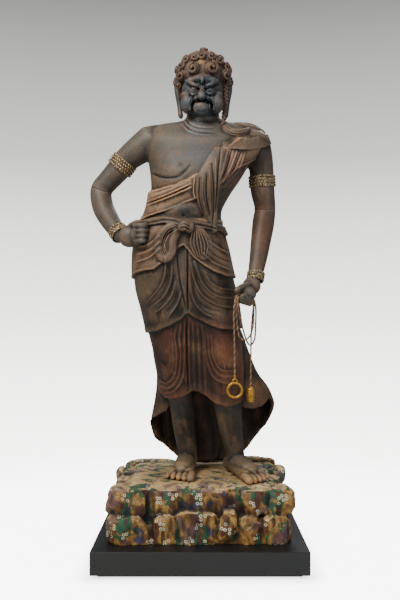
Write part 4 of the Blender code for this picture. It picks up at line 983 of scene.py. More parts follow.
def addHair(bm):
    addBall(bm, 203.3, 77, 1, (27.0, 26.5, 25.4), segments=40, rings=28)
    addBall(bm, 203.5, 93, 4, (25.8, 19, 22), segments=36, rings=24)
    for spot, radius, outward, hand in curlPlaces():
        addCurl(bm, spot, radius, outward, hand)
    # the plait in front of the left ear, two strands crossing
    for k in range(22):
        share = k / 21
        swing = 0.9 * (-1) ** k
        addBall(bm, 225.8 - 2.6 * share**2 + swing, 84 + 40 * share, -10 - 8 * share,
                (1.6, 2.0, 2.5), turn=-35 * (-1) ** k, segments=14, rings=10)


def foldFamily(first, last, count, width, height, between=0.0):
    # ridges between two guide lines, shared out evenly; between sinks the cloth halfway
    strokes = []
    for k in range(2 * count - 1 if between else count):
        share = k / max(1, (2 * count - 2) if between else (count - 1))
        line = [(a[0] + (b[0] - a[0]) * share, a[1] + (b[1] - a[1]) * share)
                for a, b in zip(first, last)]
        if between and k % 2:
            strokes.append((line, width * 1.5, -between))
        else:
            strokes.append((line, width, height))
    return strokes


def bodyStrokes():
    # ridges (height above 0) and cuts (below 0) of the front, as (chart line, width, height)
    folds = []
    # middle skirt: thin ridges sweeping out from the centre, with the cloth sunk between them
    for line, height in (
        ([(165.4, 258), (164.4, 276), (157.8, 290), (147, 302)], 1.2),
        ([(172, 264), (171, 280), (164.4, 295.7), (152, 306.5)], 1.3),
        ([(175.5, 282), (171.5, 295.7), (164, 306), (156, 312)], 1.2),
        ([(181.4, 292), (176.7, 305), (168, 317.5)], 1.2),
        ([(189.8, 258), (194.7, 280.6), (203.2, 295.7), (218.3, 305.2), (235, 308)], 1.4),
        ([(194.5, 262), (201.3, 280.6), (210.7, 292), (222, 297.6), (235, 298.6)], 1.3),
        ([(204, 272), (210.5, 282), (221, 288.5), (234, 290)], 0.8),
        ([(189.4, 284), (194, 301), (203, 312), (214, 318)], 1.2),
    ):
        folds.append((line, 0.85, height))
    for line, depth in (
        ([(168, 270), (167, 283), (160, 296), (149, 306)], 0.7),
        ([(173.6, 276), (171, 291), (162, 304), (154, 310)], 0.8),
        ([(179, 290), (174, 303), (166, 312)], 0.8),
        ([(192.6, 268), (198, 284), (207, 296), (222, 302.5), (235, 304)], 0.9),
        ([(190, 276), (197, 299), (208, 308), (222, 312)], 1.0),
        ([(199.5, 270), (206, 284), (217, 293), (234, 295)], 0.7),
    ):
        folds.append((line, 2.0, -depth))
    folds += [
        # its centre: a tongue of cloth beside one deep cut
        ([(187.4, 250), (187.6, 275), (187.6, 296), (188, 311)], 0.8, -2.6),
        ([(177, 256), (180, 282), (186.2, 309)], 0.8, -1.4),
        ([(182.6, 258), (184, 282), (186.4, 300)], 2.4, 0.9),
    ]
    # inner skirt: nested bows under each knee
    folds += foldFamily(
        [(176.5, 326), (174.8, 337), (176.7, 356), (174.5, 374), (167, 383), (159.5, 380)],
        [(184.6, 324), (184.4, 340), (184.8, 358), (182, 380), (172.5, 392), (161, 393)],
        3, 0.7, 0.7, 0.5)
    folds += foldFamily(
        [(168, 345), (170, 356), (167, 366), (161.5, 364)],
        [(172, 334), (173.5, 354), (172, 370), (166, 377)], 5, 0.5, 0.35, 0.15)
    folds += foldFamily(
        [(211, 336), (213, 356), (219.5, 368), (228, 371), (238, 369)],
        [(204.5, 332), (206.5, 358), (213, 376), (225.5, 383.5), (239, 382)], 3, 0.8, 0.5, 0.3)
    # the gathered centre of the inner skirt
    folds += foldFamily([(188, 322), (188.5, 350), (189.5, 388)],
                        [(202, 326), (204, 350), (206, 398)], 4, 0.7, 0.4, 0.7)
    folds.append(([(187, 318), (187.4, 350), (188.6, 390)], 1.0, -2.2))
    # overfall: long soft folds at both hips
    folds += foldFamily([(159, 236), (149, 244), (138, 247)],
                        [(160.6, 248), (149, 257.5), (136.5, 262)], 3, 0.9, 1.0, 0.6)
    folds += foldFamily([(209, 241), (220, 249), (231, 255)],
                        [(200, 250), (213, 262), (230, 270)], 2, 0.9, 1.1, 0.7)
    folds += [
        # sash: a doubled ridge along it, and cuts in its falling end
        ([(148, 201.6), (168, 194), (190, 184)], 0.75, 1.6),
        ([(148, 205.2), (168, 197.6), (191, 187.4)], 0.75, 1.6),
        ([(148, 203.4), (168, 195.8), (190, 185.8)], 0.5, -1.2),
        ([(152, 193.5), (168, 188), (188, 180)], 1.0, -0.7),
        ([(146, 214), (168, 208), (192, 197)], 3.0, -0.5),
    ]
    for line, width, height in (
        ([(220.6, 149), (218.6, 170), (217, 190), (215.6, 212)], 0.8, -1.9),
        ([(212, 164), (213.6, 184), (214.2, 205), (212, 228)], 0.7, -1.6),
        ([(206.4, 174), (206.4, 195), (209.5, 215)], 0.8, -1.7),
        ([(199.5, 178), (199, 197), (203.5, 216)], 0.7, -1.4),
        ([(194.4, 179), (193.6, 192), (196.5, 203)], 0.7, 1.2),
        ([(216, 158), (215.6, 186), (214.6, 208)], 0.9, 1.3),
        ([(209.4, 170), (210, 190), (211, 212)], 0.9, 1.2),
        ([(202.8, 176), (202.6, 196), (206.4, 214)], 0.9, 1.2),
        ([(228, 149), (224.6, 163), (221, 178)], 0.9, 1.3),
        ([(232, 150), (227.4, 165), (222, 179)], 0.8, -1.5),
        ([(237.4, 150), (231, 167), (222.6, 181)], 0.9, 1.3),
        ([(241, 152), (234, 169), (223, 185)], 0.8, -1.3),
        ([(245, 153), (238, 171), (224, 187.5)], 0.8, 1.0),
    ):
        folds.append((line, width, height))
    folds += [
        # the rolled cloth on the shoulder
        ([(224, 127.4), (230, 132.4), (239, 134.4), (247, 132)], 0.5, -0.8),
        ([(225, 125), (231, 129.4), (239, 131.2), (247, 129)], 0.5, -0.7),
    ]
    # ribs of the knot, its loop and its end
    folds += foldFamily([(193, 231), (190.4, 243), (196, 256)],
                        [(202, 232), (208, 244), (206.4, 255)], 6, 0.55, 0.9, 0.9)
    folds += foldFamily([(176, 226), (166, 231), (161, 245), (165, 257)],
                        [(177.6, 229), (169, 235), (164.4, 245.5), (167, 254)], 3, 0.5, 0.6, 0.6)
    folds += foldFamily([(178.6, 223), (184, 221.8), (189, 224.6)],
                        [(180.6, 230), (186, 229.6), (190, 232.4)], 3, 0.5, 0.6, 0.8)
    folds += foldFamily([(148, 221), (166, 217.6), (180, 220)],
                        [(148, 225), (166, 221.6), (179, 224)], 2, 0.7, 0.7, 0.8)
    folds += foldFamily([(196, 222), (207, 224.5), (218, 227.5)],
                        [(196, 226), (207, 228), (218, 231)], 2, 0.7, 0.7, 0.8)
    folds += [
        # the lower line of the right breast
        ([(151.5, 173), (160, 177), (171, 178), (180, 175.5), (190, 166)], 1.3, -1.2),
        # creases round the neck
        ([(184.6, 124.2), (190, 129), (200, 132.2), (212, 132.8)], 0.75, -1.3),
        ([(186.2, 120), (191, 124.6), (200, 127.8), (212, 128.4)], 0.7, -1.2),
        ([(184.8, 122.2), (190.4, 126.8), (200, 130), (212, 130.6)], 0.9, 0.7),
        ([(183.4, 126.4), (189, 131), (200, 134.4), (213, 134.8)], 0.9, 0.8),
        # the navel, and the middle of the chest
        ([(183.2, 214.6), (183.6, 216.6)], 1.0, -1.6),
        ([(180.2, 163.6), (180.8, 164.4)], 0.9, 0.7),
        # the joint lines of the arms
        ([(91, 186.5), (99, 189.5), (109, 192)], 0.5, -0.5),
        ([(253, 208.5), (264, 209.5), (275, 208.5)], 0.5, -0.5),
        # the falling fold between the knees ends in a point; the shins are ridged
        ([(203, 398), (207, 406), (209.5, 414)], 3.0, 1.5),
        ([(181, 404), (186, 425), (190, 444)], 2.6, 0.9),
        ([(229, 410), (232, 428), (235, 444)], 2.6, 0.9),
    ]
    return folds


mouthLine = [
    (193.2, 109.6), (193.2, 104.6), (195.8, 101.5), (201.8, 100.3), (207.6, 101.5), (210.8, 104.8),
    (211.0, 110.2)]


def headStrokes():
    # cuts of the face, as (chart line, width, height)
    return [
        # the mouth, bent down at both corners under a heavy lip
        (mouthLine, 1.25, -3.0),
        ([(196.6, 110.6), (201.6, 112), (207, 110.6)], 0.9, -0.7),
        # creases beside the nose, between the brows and under the eyes
        ([(195, 95.4), (191.2, 99.4), (190.4, 105.6)], 0.8, -1.0),
        ([(209.4, 95.2), (213.6, 99.4), (214, 105.6)], 0.8, -1.0),
        ([(198.8, 86.8), (200.2, 84.2), (199.8, 80.4)], 0.7, -1.1),
        ([(205.4, 86.8), (204.4, 84.2), (204.8, 80.4)], 0.7, -1.1),
        ([(188.6, 94.8), (193.6, 96.6), (198, 94.8)], 0.6, -0.7),
        ([(206.4, 94.4), (211.6, 95.8), (217.4, 93.6)], 0.6, -0.7),
        ([(187.8, 85.2), (193, 87.2), (199.2, 88.6)], 1.0, -1.4),
        ([(205, 88.2), (211, 86.8), (218.6, 83.8)], 1.0, -1.4),
        ([(202.6, 84), (202.6, 85.6)], 0.9, -1.4),
        ([(202.4, 88.6), (202.4, 89.8)], 0.9, -0.9),
    ]


def chartSpots(points):
    spread = 1 + points[:, 1] / chart["viewDistance"]
    across = chart["centreLine"] + points[:, 0] / spread
    eye = chart["eyeLine"]
    down = eye - (points[:, 2] - chart["soleLine"] + eye) / spread
    return across, down


def strokeShare(across, down, line, width):
    # how much each spot of the chart lies on a line of that width, from 0 to 1, fading at its ends
    fadeLength = 0.16  # of the whole line
    share = np.zeros(len(across))
    line = smoothCurve(line, 5)
    reach = 3 * width
    low, high = line.min(0) - reach, line.max(0) + reach
    near = np.flatnonzero(
        (across > low[0]) & (across < high[0]) & (down > low[1]) & (down < high[1]))
    if not len(near):
        return share
    here = np.stack([across[near], down[near]], 1)
    best = np.full(len(near), np.inf)
    along = np.zeros(len(near))
    spans = len(line) - 1
    for k, (a, b) in enumerate(zip(line, line[1:])):
        d = b - a
        t = np.clip(((here - a) @ d) / max(d @ d, 1e-9), 0, 1)
        gap = np.linalg.norm(here - a - t[:, None] * d, axis=1)
        nearer = gap < best
        best = np.where(nearer, gap, best)
        along = np.where(nearer, (k + t) / spans, along)
    fade = np.clip(np.minimum(along, 1 - along) / fadeLength, 0.15, 1)
    share[near] = np.exp(-((best / width) ** 2)) * np.sqrt(fade)
    return share


def carveFront(points, normals, folds):
    across, down = chartSpots(points)
    facing = np.clip((-normals[:, 1] - 0.05) / 0.35, 0, 1) * (points[:, 1] < 8)
    lift = np.zeros(len(points))
    for line, width, height in folds:
        lift += height * strokeShare(across, down, line, width)
    return points + normals * (lift * facing)[:, None]


pleatSetup = {
    "perTurn": 11,
    "height": 1.1,  # parts
    "axis": -12,  # parts across from the middle of the soles to the middle of the skirts
    "legReach": 24,  # parts round that axis, inside which nothing is pleated
    "sashPitch": 0.9,  # turns of the sash's folds, in radians to a part
    "sashSlope": 0.62,
    "sashMiddle": 186,  # on the chart
    "sashHalf": 26,
    "sashHeight": 0.7,
}


def carveRound(points, normals):
    # upright pleats on the skirts' sides and back, and in the train: broad ones with a crease each
    down = chart["soleLine"] - points[:, 2]
    aside = points[:, 0] - pleatSetup["axis"]
    angle = np.arctan2(aside, -points[:, 1])
    behind = np.clip((np.abs(angle) - 1.5) / 0.5, 0, 1)
    belowBelt = np.clip((down - 236) / 30, 0, 1) * (points[:, 2] > 4)
    leg = np.hypot(aside, points[:, 1]) < pleatSetup["legReach"]
    phase = angle * pleatSetup["perTurn"] + 0.6 * np.sin(down / 17)
    crease = np.exp(-((np.cos(phase / 2) / 0.14) ** 2))
    pleats = np.cos(phase) + 0.45 * np.cos(2 * phase + 0.8) - 0.8 * crease
    # slanting folds of the sash across the back
    high = (down > 120) & (down < 226)
    slant = down + pleatSetup["sashSlope"] * points[:, 0] * np.sign(-points[:, 1] + 1e-9)
    onSash = np.abs(slant - pleatSetup["sashMiddle"]) < pleatSetup["sashHalf"]
    sashBack = np.clip((points[:, 1] - 12) / 8, 0, 1) * high * onSash
    lift = pleatSetup["height"] * pleats * behind * belowBelt * ~leg
    lift += pleatSetup["sashHeight"] * np.cos(slant * pleatSetup["sashPitch"]) * sashBack
    return points + normals * lift[:, None]


def meshArrays(mesh):
    points = np.empty(len(mesh.vertices) * 3, np.float32)
    normals = np.empty(len(mesh.vertices) * 3, np.float32)
    mesh.vertices.foreach_get("co", points)
    mesh.vertices.foreach_get("normal", normals)
    return points.reshape(-1, 3).astype(float), normals.reshape(-1, 3).astype(float)


def setPoints(mesh, points):
    mesh.vertices.foreach_set("co", points.astype(np.float32).ravel())
    mesh.update()


def gatherShapes(makers):
    # all shapes in one bmesh; returns it with the layer that each face belongs to
    bm = bmesh.new()
    owners = []
    for name, maker in makers:
        maker(bm)
        owners += [name] * (len(bm.faces) - len(owners))
    bmesh.ops.recalc_face_normals(bm, faces=bm.faces)
    bm.faces.ensure_lookup_table()
    tree = BVHTree.FromBMesh(bm)
    return bm, owners, tree


def addBlended(bm, makers, grain, evening):
    # bare limbs and muscles, run together into one smooth skin before the cloth goes over them
    inner = bmesh.new()
    for maker in makers:
        maker(inner)
    bmesh.ops.recalc_face_normals(inner, faces=inner.faces)
    blended = fused("blended", inner, grain, evening)
    bm.from_mesh(blended.data)
    bpy.data.objects.remove(blended)


def addNude(bm):
    addBlended(bm, (addTrunk, addArms, addLegs), 1.2, 16)


def addHandsAndFeet(bm):
    addBlended(bm, (addFists, addFeet), 0.75, 3)


def fused(name, bm, grain, evening=3):
    # one surface from overlapping closed shapes, joined on a grid of that grain
    obj = addObject(name, meshOf(bm, name))
    join = obj.modifiers.new("Join", "REMESH")
    join.mode = "VOXEL"
    join.voxel_size = grain
    even = obj.modifiers.new("Even", "SMOOTH")
    even.iterations = evening
    obj.data = evaluatedMesh(obj)
    obj.modifiers.clear()
    return obj


def thinTo(obj, triangles):
    count = sum(len(face.vertices) - 2 for face in obj.data.polygons)
    thin = obj.modifiers.new("Thin", "DECIMATE")
    thin.ratio = min(1.0, triangles / count)
    obj.data = evaluatedMesh(obj)
    obj.modifiers.clear()


figureSetup = {
    "bodyGrain": 0.6,  # parts, about 2.3 mm
    "headGrain": 0.4,  # parts, about 1.5 mm
    "bodyTriangles": 142000,
    "headTriangles": 50000,
    "fewestFaces": 100,  # smaller islands are crumbs of the joining grid
    "boreRadius": 3.07,  # parts, through the left fist
    # colours of the layers, before wear
    "paints": {
        "skin": "#4d4840", "face": "#3b4043", "hair": "#4b3a31", "sash": "#90745e",
        "shoulder": "#564a3d", "belt": "#5b4c3e", "overfall": "#755e49", "middle": "#453a2d",
        "inner": "#4a2c1e", "train": "#3f3024",
    },
    # broad tints over the layers: chart spot, size, colour and strength
    "tints": (
        ((168, 156), (24, 22), "#3b362e", 0.8), ((200, 148), (16, 16), "#54565a", 0.75),
        ((150, 140), (16, 16), "#5c554b", 0.5),
        ((104, 200), (14, 22), "#5c5347", 0.5), ((263, 225), (12, 44), "#52331f", 0.85),
        # the tints at (185, 430) and (234, 430) paint the legs near black: their own dark paint together with
        # painted shade under the skirts
        ((262, 160), (12, 12), "#4c3a30", 0.6), ((185, 430), (16, 26), "#171107", 0.98),
        ((234, 430), (16, 26), "#2a1e11", 0.95), ((180, 470), (24, 10), "#7f6a4c", 0.8),
        ((250, 475), (26, 10), "#7f6a4c", 0.8), ((166, 478), (22, 4), "#a87d55", 0.7),
        # the tint at (196, 360) is painted shade down the deep gathered fold between the thighs
        ((258, 482), (20, 5), "#a87d55", 0.7), ((196, 360), (9, 44), "#231b0c", 0.95),
        ((226, 365), (12, 24), "#6a4028", 0.5), ((166, 250), (9, 14), "#5f5044", 0.6),
        ((258, 390), (14, 16), "#6b4a2a", 0.5), ((234, 170), (10, 20), "#6b4438", 0.6),
        ((182, 278), (7, 26), "#3d3a38", 0.6), ((222, 326), (12, 8), "#5c3528", 0.6),
        ((220, 298), (13, 14), "#5c4630", 0.5), ((168, 197), (24, 10), "#a98a6c", 0.6),
        ((186, 211), (18, 8), "#171718", 0.95),
        ((198, 126), (12, 7), "#585d64", 0.5),
    ),
}


def smoothedOver(values, edges, rounds):
    # every point's values drawn halfway to the mean of its neighbours, that many times
    count = len(values)
    degree = np.maximum(np.bincount(edges.ravel(), minlength=count), 1)
    values = values.copy()
    for _ in range(rounds):
        total = np.zeros_like(values)
        for k in range(values.shape[1]):
            total[:, k] = np.bincount(edges[:, 0], values[edges[:, 1], k], count)
            total[:, k] += np.bincount(edges[:, 1], values[edges[:, 0], k], count)
        values = 0.5 * values + 0.5 * total / degree[:, None]
    return values


def edgeArray(mesh):
    edges = np.empty(len(mesh.edges) * 2, np.int64)
    mesh.edges.foreach_get("vertices", edges)
    return edges.reshape(-1, 2)


def setShare(mesh, name, values):
    layer = mesh.attributes.new(name, "FLOAT", "POINT")
    layer.data.foreach_set("value", values.astype(np.float32))


def hollowShare(mesh, rounds, scale):
    # 0 on ridges, 0.5 on plain ground and 1 in hollows
    points, normals = meshArrays(mesh)
    moved = smoothedOver(points, edgeArray(mesh), rounds) - points
    return np.clip(0.5 + (moved * normals).sum(1) / scale, 0, 1)


def paintMesh(mesh, owners, tree, marks):
    # a colour for every point from the layer it lies on, evened over the seams between layers
    points, _ = meshArrays(mesh)
    paints = {name: np.array(colour(code)[:3]) for name, code in figureSetup["paints"].items()}
    shades = np.empty((len(points), 3))
    for i, point in enumerate(points):
        found = tree.find_nearest(Vector(point))[2]
        shades[i] = paints[owners[found]] if found is not None else paints["skin"]
    across, down = chartSpots(points)
    front = np.clip((20 - points[:, 1]) / 20, 0, 1)
    for (x, y), (wide, high), code, strength in figureSetup["tints"]:
        near = np.exp(-(((across - x) / wide) ** 2) - ((down - y) / high) ** 2)
        share = (near * strength * front)[:, None]
        shades = shades * (1 - share) + np.array(colour(code)[:3]) * share
    for line, width, code, strength in marks:
        share = strokeShare(across, down, line, width) * strength * (points[:, 1] < 0)
        shades = shades * (1 - share[:, None]) + np.array(colour(code)[:3]) * share[:, None]
    shades = smoothedOver(shades, edgeArray(mesh), 1)
    layer = mesh.color_attributes.new("paint", "FLOAT_COLOR", "POINT")
    full = np.concatenate([shades, np.ones((len(shades), 1))], 1)
    layer.data.foreach_set("color", full.astype(np.float32).ravel())


def boreThrough(body):
    # the opening through the left fist that the cord passes
    start, end = (place(*spot) for spot in fistBore)
    bm = bmesh.new()
    turn = (end - start).to_track_quat("Z", "Y").to_matrix().to_4x4()
    bmesh.ops.create_cone(
        bm, cap_ends=True, segments=28, radius1=figureSetup["boreRadius"],
        radius2=figureSetup["boreRadius"], depth=(end - start).length * 1.5,
        matrix=Matrix.Translation((start + end) / 2) @ turn)
    cutter = addObject("boreCutter", meshOf(bm, "boreCutter"))
    cut = body.modifiers.new("Bore", "BOOLEAN")
    cut.operation = "DIFFERENCE"
    cut.object = cutter
    body.data = evaluatedMesh(body)
    body.modifiers.clear()
    bpy.data.objects.remove(cutter)


def carvedBody():
    bodyLayers = (
        ("skin", addNude), ("skin", addHandsAndFeet), ("train", addTrain), ("inner", addInnerSkirt),
        ("middle", addMiddleSkirt), ("overfall", addOverfall), ("belt", addBelt),
        ("sash", addSash), ("shoulder", addShoulderCloth),
    )
    bm, owners, tree = gatherShapes(bodyLayers)
    body = fused("figureBody", bm, figureSetup["bodyGrain"])
    points, normals = meshArrays(body.data)
    points = carveFront(points, normals, bodyStrokes())
    points = carveRound(points, normals)
    setPoints(body.data, points)
    boreThrough(body)
    thinTo(body, figureSetup["bodyTriangles"])
    paintMesh(body.data, owners, tree, (
        # painted shade along the crease under the right breast
        ([(152, 171), (171, 177.5), (189, 167)], 1.6, "#2e2a25", 0.5),
        ([(150, 188), (168, 185), (188, 178)], 1.4, "#a5794f", 0.5),
        ([(147, 203), (168, 196), (190, 186)], 1.8, "#a07248", 0.5),
    ))
    print("figure body", len(body.data.polygons))
    return body


def carvedHead():
    bm, owners, tree = gatherShapes((("face", addFace), ("hair", addHair)))
    head = fused("figureHead", bm, figureSetup["headGrain"], evening=2)
    points, normals = meshArrays(head.data)
    points = carveFront(points, normals, headStrokes())
    setPoints(head.data, points)
    thinTo(head, figureSetup["headTriangles"])
    paintMesh(head.data, owners, tree, (
        # the mouth's cut painted near black: the open mouth's own dark, with painted shade under the upper
        # lip
        (mouthLine, 1.15, "#0b0a0a", 0.95),
        ([(190, 91), (197, 91)], 1.4, "#5b5854", 0.5),
        ([(194, 90.8), (194.6, 91)], 1.0, "#0f0e0e", 0.9),
        ([(207, 91.4), (215, 90.8)], 0.9, "#4a4846", 0.5),
        ([(211, 91.2), (211.6, 91.2)], 0.8, "#0f0e0e", 0.9),
        # painted shade under both brows and in the pit between them
        ([(188, 86), (193, 88), (199, 89.4)], 1.1, "#131212", 0.75),
        ([(205, 89), (211, 87.6), (219, 84.8)], 1.1, "#131212", 0.75),
        ([(202.6, 84), (202.6, 85.6)], 1.0, "#131212", 0.7),
        # a painted highlight on the nose
        ([(200, 94), (203, 97)], 2.2, "#5d5f61", 0.4),
        ([(197, 75), (207, 75)], 2.6, "#6d5248", 0.4),
        ([(199.5, 60.5), (201.5, 61.5)], 2.2, "#c8962e", 0.85),
        ([(210.3, 105), (210.6, 108)], 0.9, "#a59b86", 0.8),
        ([(181.6, 80), (181, 99)], 1.8, "#5e3527", 0.6),
    ))
    print("figure head", len(head.data.polygons))
    return head


def dropCrumbs(bm, fewest):
    # takes out islands of few faces, which the joining grid leaves in tight corners
    seen, crumbs = set(), []
    for first in bm.faces:
        if first in seen:
            continue
        seen.add(first)
        island, waiting = [], [first]
        while waiting:
            face = waiting.pop()
            island.append(face)
            for near in {other for edge in face.edges for other in edge.link_faces} - seen:
                seen.add(near)
                waiting.append(near)
        if len(island) < fewest:
            crumbs += island
    bmesh.ops.delete(bm, geom=crumbs, context="FACES")
    return len(crumbs)


def makeFigure(material):
    bm = bmesh.new()
    for carved in (carvedBody(), carvedHead()):
        bm.from_mesh(carved.data)
        bpy.data.objects.remove(carved)
    print("crumbs", dropCrumbs(bm, figureSetup["fewestFaces"]))
    # flat soles, cut on the level of the rock's top
    geometry = list(bm.verts) + list(bm.edges) + list(bm.faces)
    cut = bmesh.ops.bisect_plane(
        bm, geom=geometry, dist=1e-5, plane_co=(0, 0, 0), plane_no=(0, 0, 1), clear_inner=True)
    rim = [item for item in cut["geom_cut"] if isinstance(item, bmesh.types.BMEdge)]
    bmesh.ops.triangle_fill(bm, edges=rim, use_beauty=True)
    bmesh.ops.transform(
        bm, verts=bm.verts,
        matrix=Matrix.Translation((0, 0, chart["soleLevel"])) @ Matrix.Scale(part, 4))
    figure = finishPiece("guardianKing", bm, material, "figure")
    mesh = figure.data
    setShare(mesh, "hollow", hollowShare(mesh, 6, 0.0024))
    print("figure", len(mesh.polygons))
    return figure


def agedWoodMaterial():
    # carved cypress, lacquered and painted long ago: soot and painted shade darken the hollows,
    # painted highlights lighten the ridges, patches are rubbed to warmer wood, and long drying cracks follow
    # the grain
    material, tree, shader = newMaterial("agedPaintedCypress")
    spot = node(tree, "ShaderNodeTexCoord").outputs["Object"]
    paint = node(tree, "ShaderNodeAttribute", attribute_name="paint").outputs["Color"]
    hollow = node(tree, "ShaderNodeAttribute", attribute_name="hollow").outputs["Fac"]
    # worn patches about 50 mm wide, broken by flakes of 6 mm
    patch = node(tree, "ShaderNodeTexNoise", {
        "Vector": spot, "Scale": repeats(50), "Detail": 7.0, "Roughness": 0.66, "Distortion": 0.5})
    flake = node(tree, "ShaderNodeTexNoise", {
        "Vector": spot, "Scale": repeats(6.25), "Detail": 4.0, "Roughness": 0.65})
    # grain lines 2.3 mm apart and drawn out upright; the real ones are finer and wouldn't show
    stretched = node(tree, "ShaderNodeMapping", {
        "Vector": spot, "Scale": (repeats(2.326), repeats(2.326), repeats(111))})
    grain = node(tree, "ShaderNodeTexNoise", {
        "Vector": stretched.outputs[0], "Scale": 1.0, "Detail": 3.0, "Roughness": 0.6})
    rub = node(tree, "ShaderNodeMapRange", {
        "Value": patch.outputs["Fac"], "From Min": 0.48, "From Max": 0.66, "To Min": 0.0, "To Max": 0.48})
    worn = node(tree, "ShaderNodeMix", {0: 0.0, 6: colour("#000000"), 7: colour("#6d5038")}, data_type="RGBA")
    tree.links.new(rub.outputs[0], worn.inputs[0])
    tree.links.new(paint, worn.inputs[6])
    # soot and dust together with painted shade by height of the relief: near black in the hollows, full on
    # the ridges
    tone = node(tree, "ShaderNodeValToRGB", {"Fac": hollow}, stops=(
        (0.0, 1.0), (0.4, 0.62), (0.52, 0.5), (0.7, 0.24), (1.0, 0.07)))
    shaded = node(tree, "ShaderNodeMix", {0: 1.0, 6: worn.outputs[2], 7: tone.outputs["Color"]},
                  data_type="RGBA", blend_type="MULTIPLY")
    grainTone = node(tree, "ShaderNodeMapRange", {
        "Value": grain.outputs["Fac"], "From Min": 0.3, "From Max": 0.7, "To Min": 0.84, "To Max": 1.12})
    flakeTone = node(tree, "ShaderNodeMapRange", {
        "Value": flake.outputs["Fac"], "From Min": 0.3, "From Max": 0.7, "To Min": 0.68, "To Max": 1.3})
    both = node(tree, "ShaderNodeMath", {
        0: grainTone.outputs[0], 1: flakeTone.outputs[0]}, operation="MULTIPLY")
    # doubling brings plain ground back to its paint colour and lifts the ridges to twice it, a painted
    # highlight
    doubled = node(tree, "ShaderNodeMath", {0: both.outputs[0], 1: 2.0}, operation="MULTIPLY")
    final = node(tree, "ShaderNodeMix", {0: 1.0, 6: shaded.outputs[2], 7: doubled.outputs[0]},
                 data_type="RGBA", blend_type="MULTIPLY")
    rough = node(tree, "ShaderNodeMapRange", {
        "Value": flake.outputs["Fac"], "From Min": 0.3, "From Max": 0.7, "To Min": 0.42, "To Max": 0.66})
    relief = node(tree, "ShaderNodeMath", {
        0: grain.outputs["Fac"], 1: flake.outputs["Fac"]}, operation="ADD")
    bump = node(tree, "ShaderNodeBump", {
        "Height": relief.outputs[0], "Strength": 0.5, "Distance": 0.0009})
    tree.links.new(final.outputs[2], shader.inputs["Base Color"])
    tree.links.new(rough.outputs[0], shader.inputs["Roughness"])
    tree.links.new(bump.outputs["Normal"], shader.inputs["Normal"])
    shader.inputs["IOR"].default_value = 1.5
    return material


# The rock: two tiers of boulders, carved and painted

rockSetup = {
    "width": 0.660,
    "depth": 0.645,
    "height": 0.198,
    "floor": 0.0903,
    "grain": 0.0042,
    "triangles": 100000,
    "blunt": 0.5,
    "facets": 16,  # chisel cuts to a boulder
    "seed": 11,
    # boulders: middle across, half width, how far the face stands forward, foot and top
    "front": (
        (-0.258, 0.084, 0.300, 0.090, 0.192), (-0.110, 0.062, 0.285, 0.085, 0.184),
        (0.040, 0.100, 0.280, 0.100, 0.190), (0.192, 0.058, 0.287, 0.095, 0.184),
        (0.290, 0.052, 0.290, 0.095, 0.192),
        (-0.252, 0.082, 0.318, -0.02, 0.106), (-0.130, 0.046, 0.312, -0.02, 0.102),
        (-0.014, 0.082, 0.320, -0.02, 0.112), (0.098, 0.038, 0.316, -0.02, 0.118),
        (0.178, 0.042, 0.313, -0.02, 0.098), (0.264, 0.052, 0.318, -0.02, 0.100)),
    "side": (
        (-0.20, 0.085, 0.332, 0.085, 0.188), (-0.03, 0.080, 0.322, 0.100, 0.190),
        (0.13, 0.075, 0.330, 0.090, 0.186), (0.25, 0.060, 0.320, 0.095, 0.192),
        (-0.22, 0.075, 0.326, -0.02, 0.100), (-0.10, 0.050, 0.318, -0.02, 0.110),
        (0.03, 0.080, 0.328, -0.02, 0.104), (0.17, 0.060, 0.316, -0.02, 0.100),
        (0.26, 0.050, 0.322, -0.02, 0.108)),
    # lumps on top: middle, half size and height over the top
    "top": (
        (-0.275, 0.050, 0.055, 0.045, 0.016), (0.305, 0.060, 0.030, 0.060, 0.018),
        (0.175, 0.285, 0.145, 0.030, 0.016), (-0.20, 0.27, 0.11, 0.035, 0.006)),
}


def addBoulder(bm, low, high, quarterTurns=0, blunt=0.62, facets=0, random=None):
    # a rounded block between two corners, dressed with flat chisel cuts, turned about the middle
    centre = (Vector(low) + Vector(high)) / 2
    half = (Vector(high) - Vector(low)) / 2
    block = bmesh.new()
    bmesh.ops.create_uvsphere(block, u_segments=32, v_segments=22, radius=1)
    for vert in block.verts:
        vert.co = Vector([math.copysign(abs(c) ** blunt, c) * h for c, h in zip(vert.co, half)])
    for _ in range(facets):
        way = Vector(random.normal(size=3)) * Vector((1.1, 1.3, 0.45))
        way.normalize()
        reach = max(vert.co.dot(way) for vert in block.verts)
        cut = bmesh.ops.bisect_plane(
            block, geom=list(block.verts) + list(block.edges) + list(block.faces), dist=1e-6,
            plane_co=way * reach * random.uniform(0.8, 0.93), plane_no=way, clear_outer=True)
        rim = [item for item in cut["geom_cut"] if isinstance(item, bmesh.types.BMEdge)]
        bmesh.ops.holes_fill(block, edges=rim, sides=0)
    turn = Matrix.Rotation(math.radians(90 * quarterTurns), 4, "Z")
    bmesh.ops.transform(block, matrix=turn @ Matrix.Translation(centre), verts=block.verts)
    joinInto(bm, block)


def waves(points, size, seed):
    # smooth waves of about that size, the same in every run
    random = np.random.default_rng(seed)
    total = np.zeros(len(points))
    for _ in range(7):
        way = random.normal(size=3)
        way *= 2 * math.pi / size / np.linalg.norm(way) * random.uniform(0.7, 1.4)
        total += np.sin(points @ way + random.uniform(0, 6.28))
    return total / 7


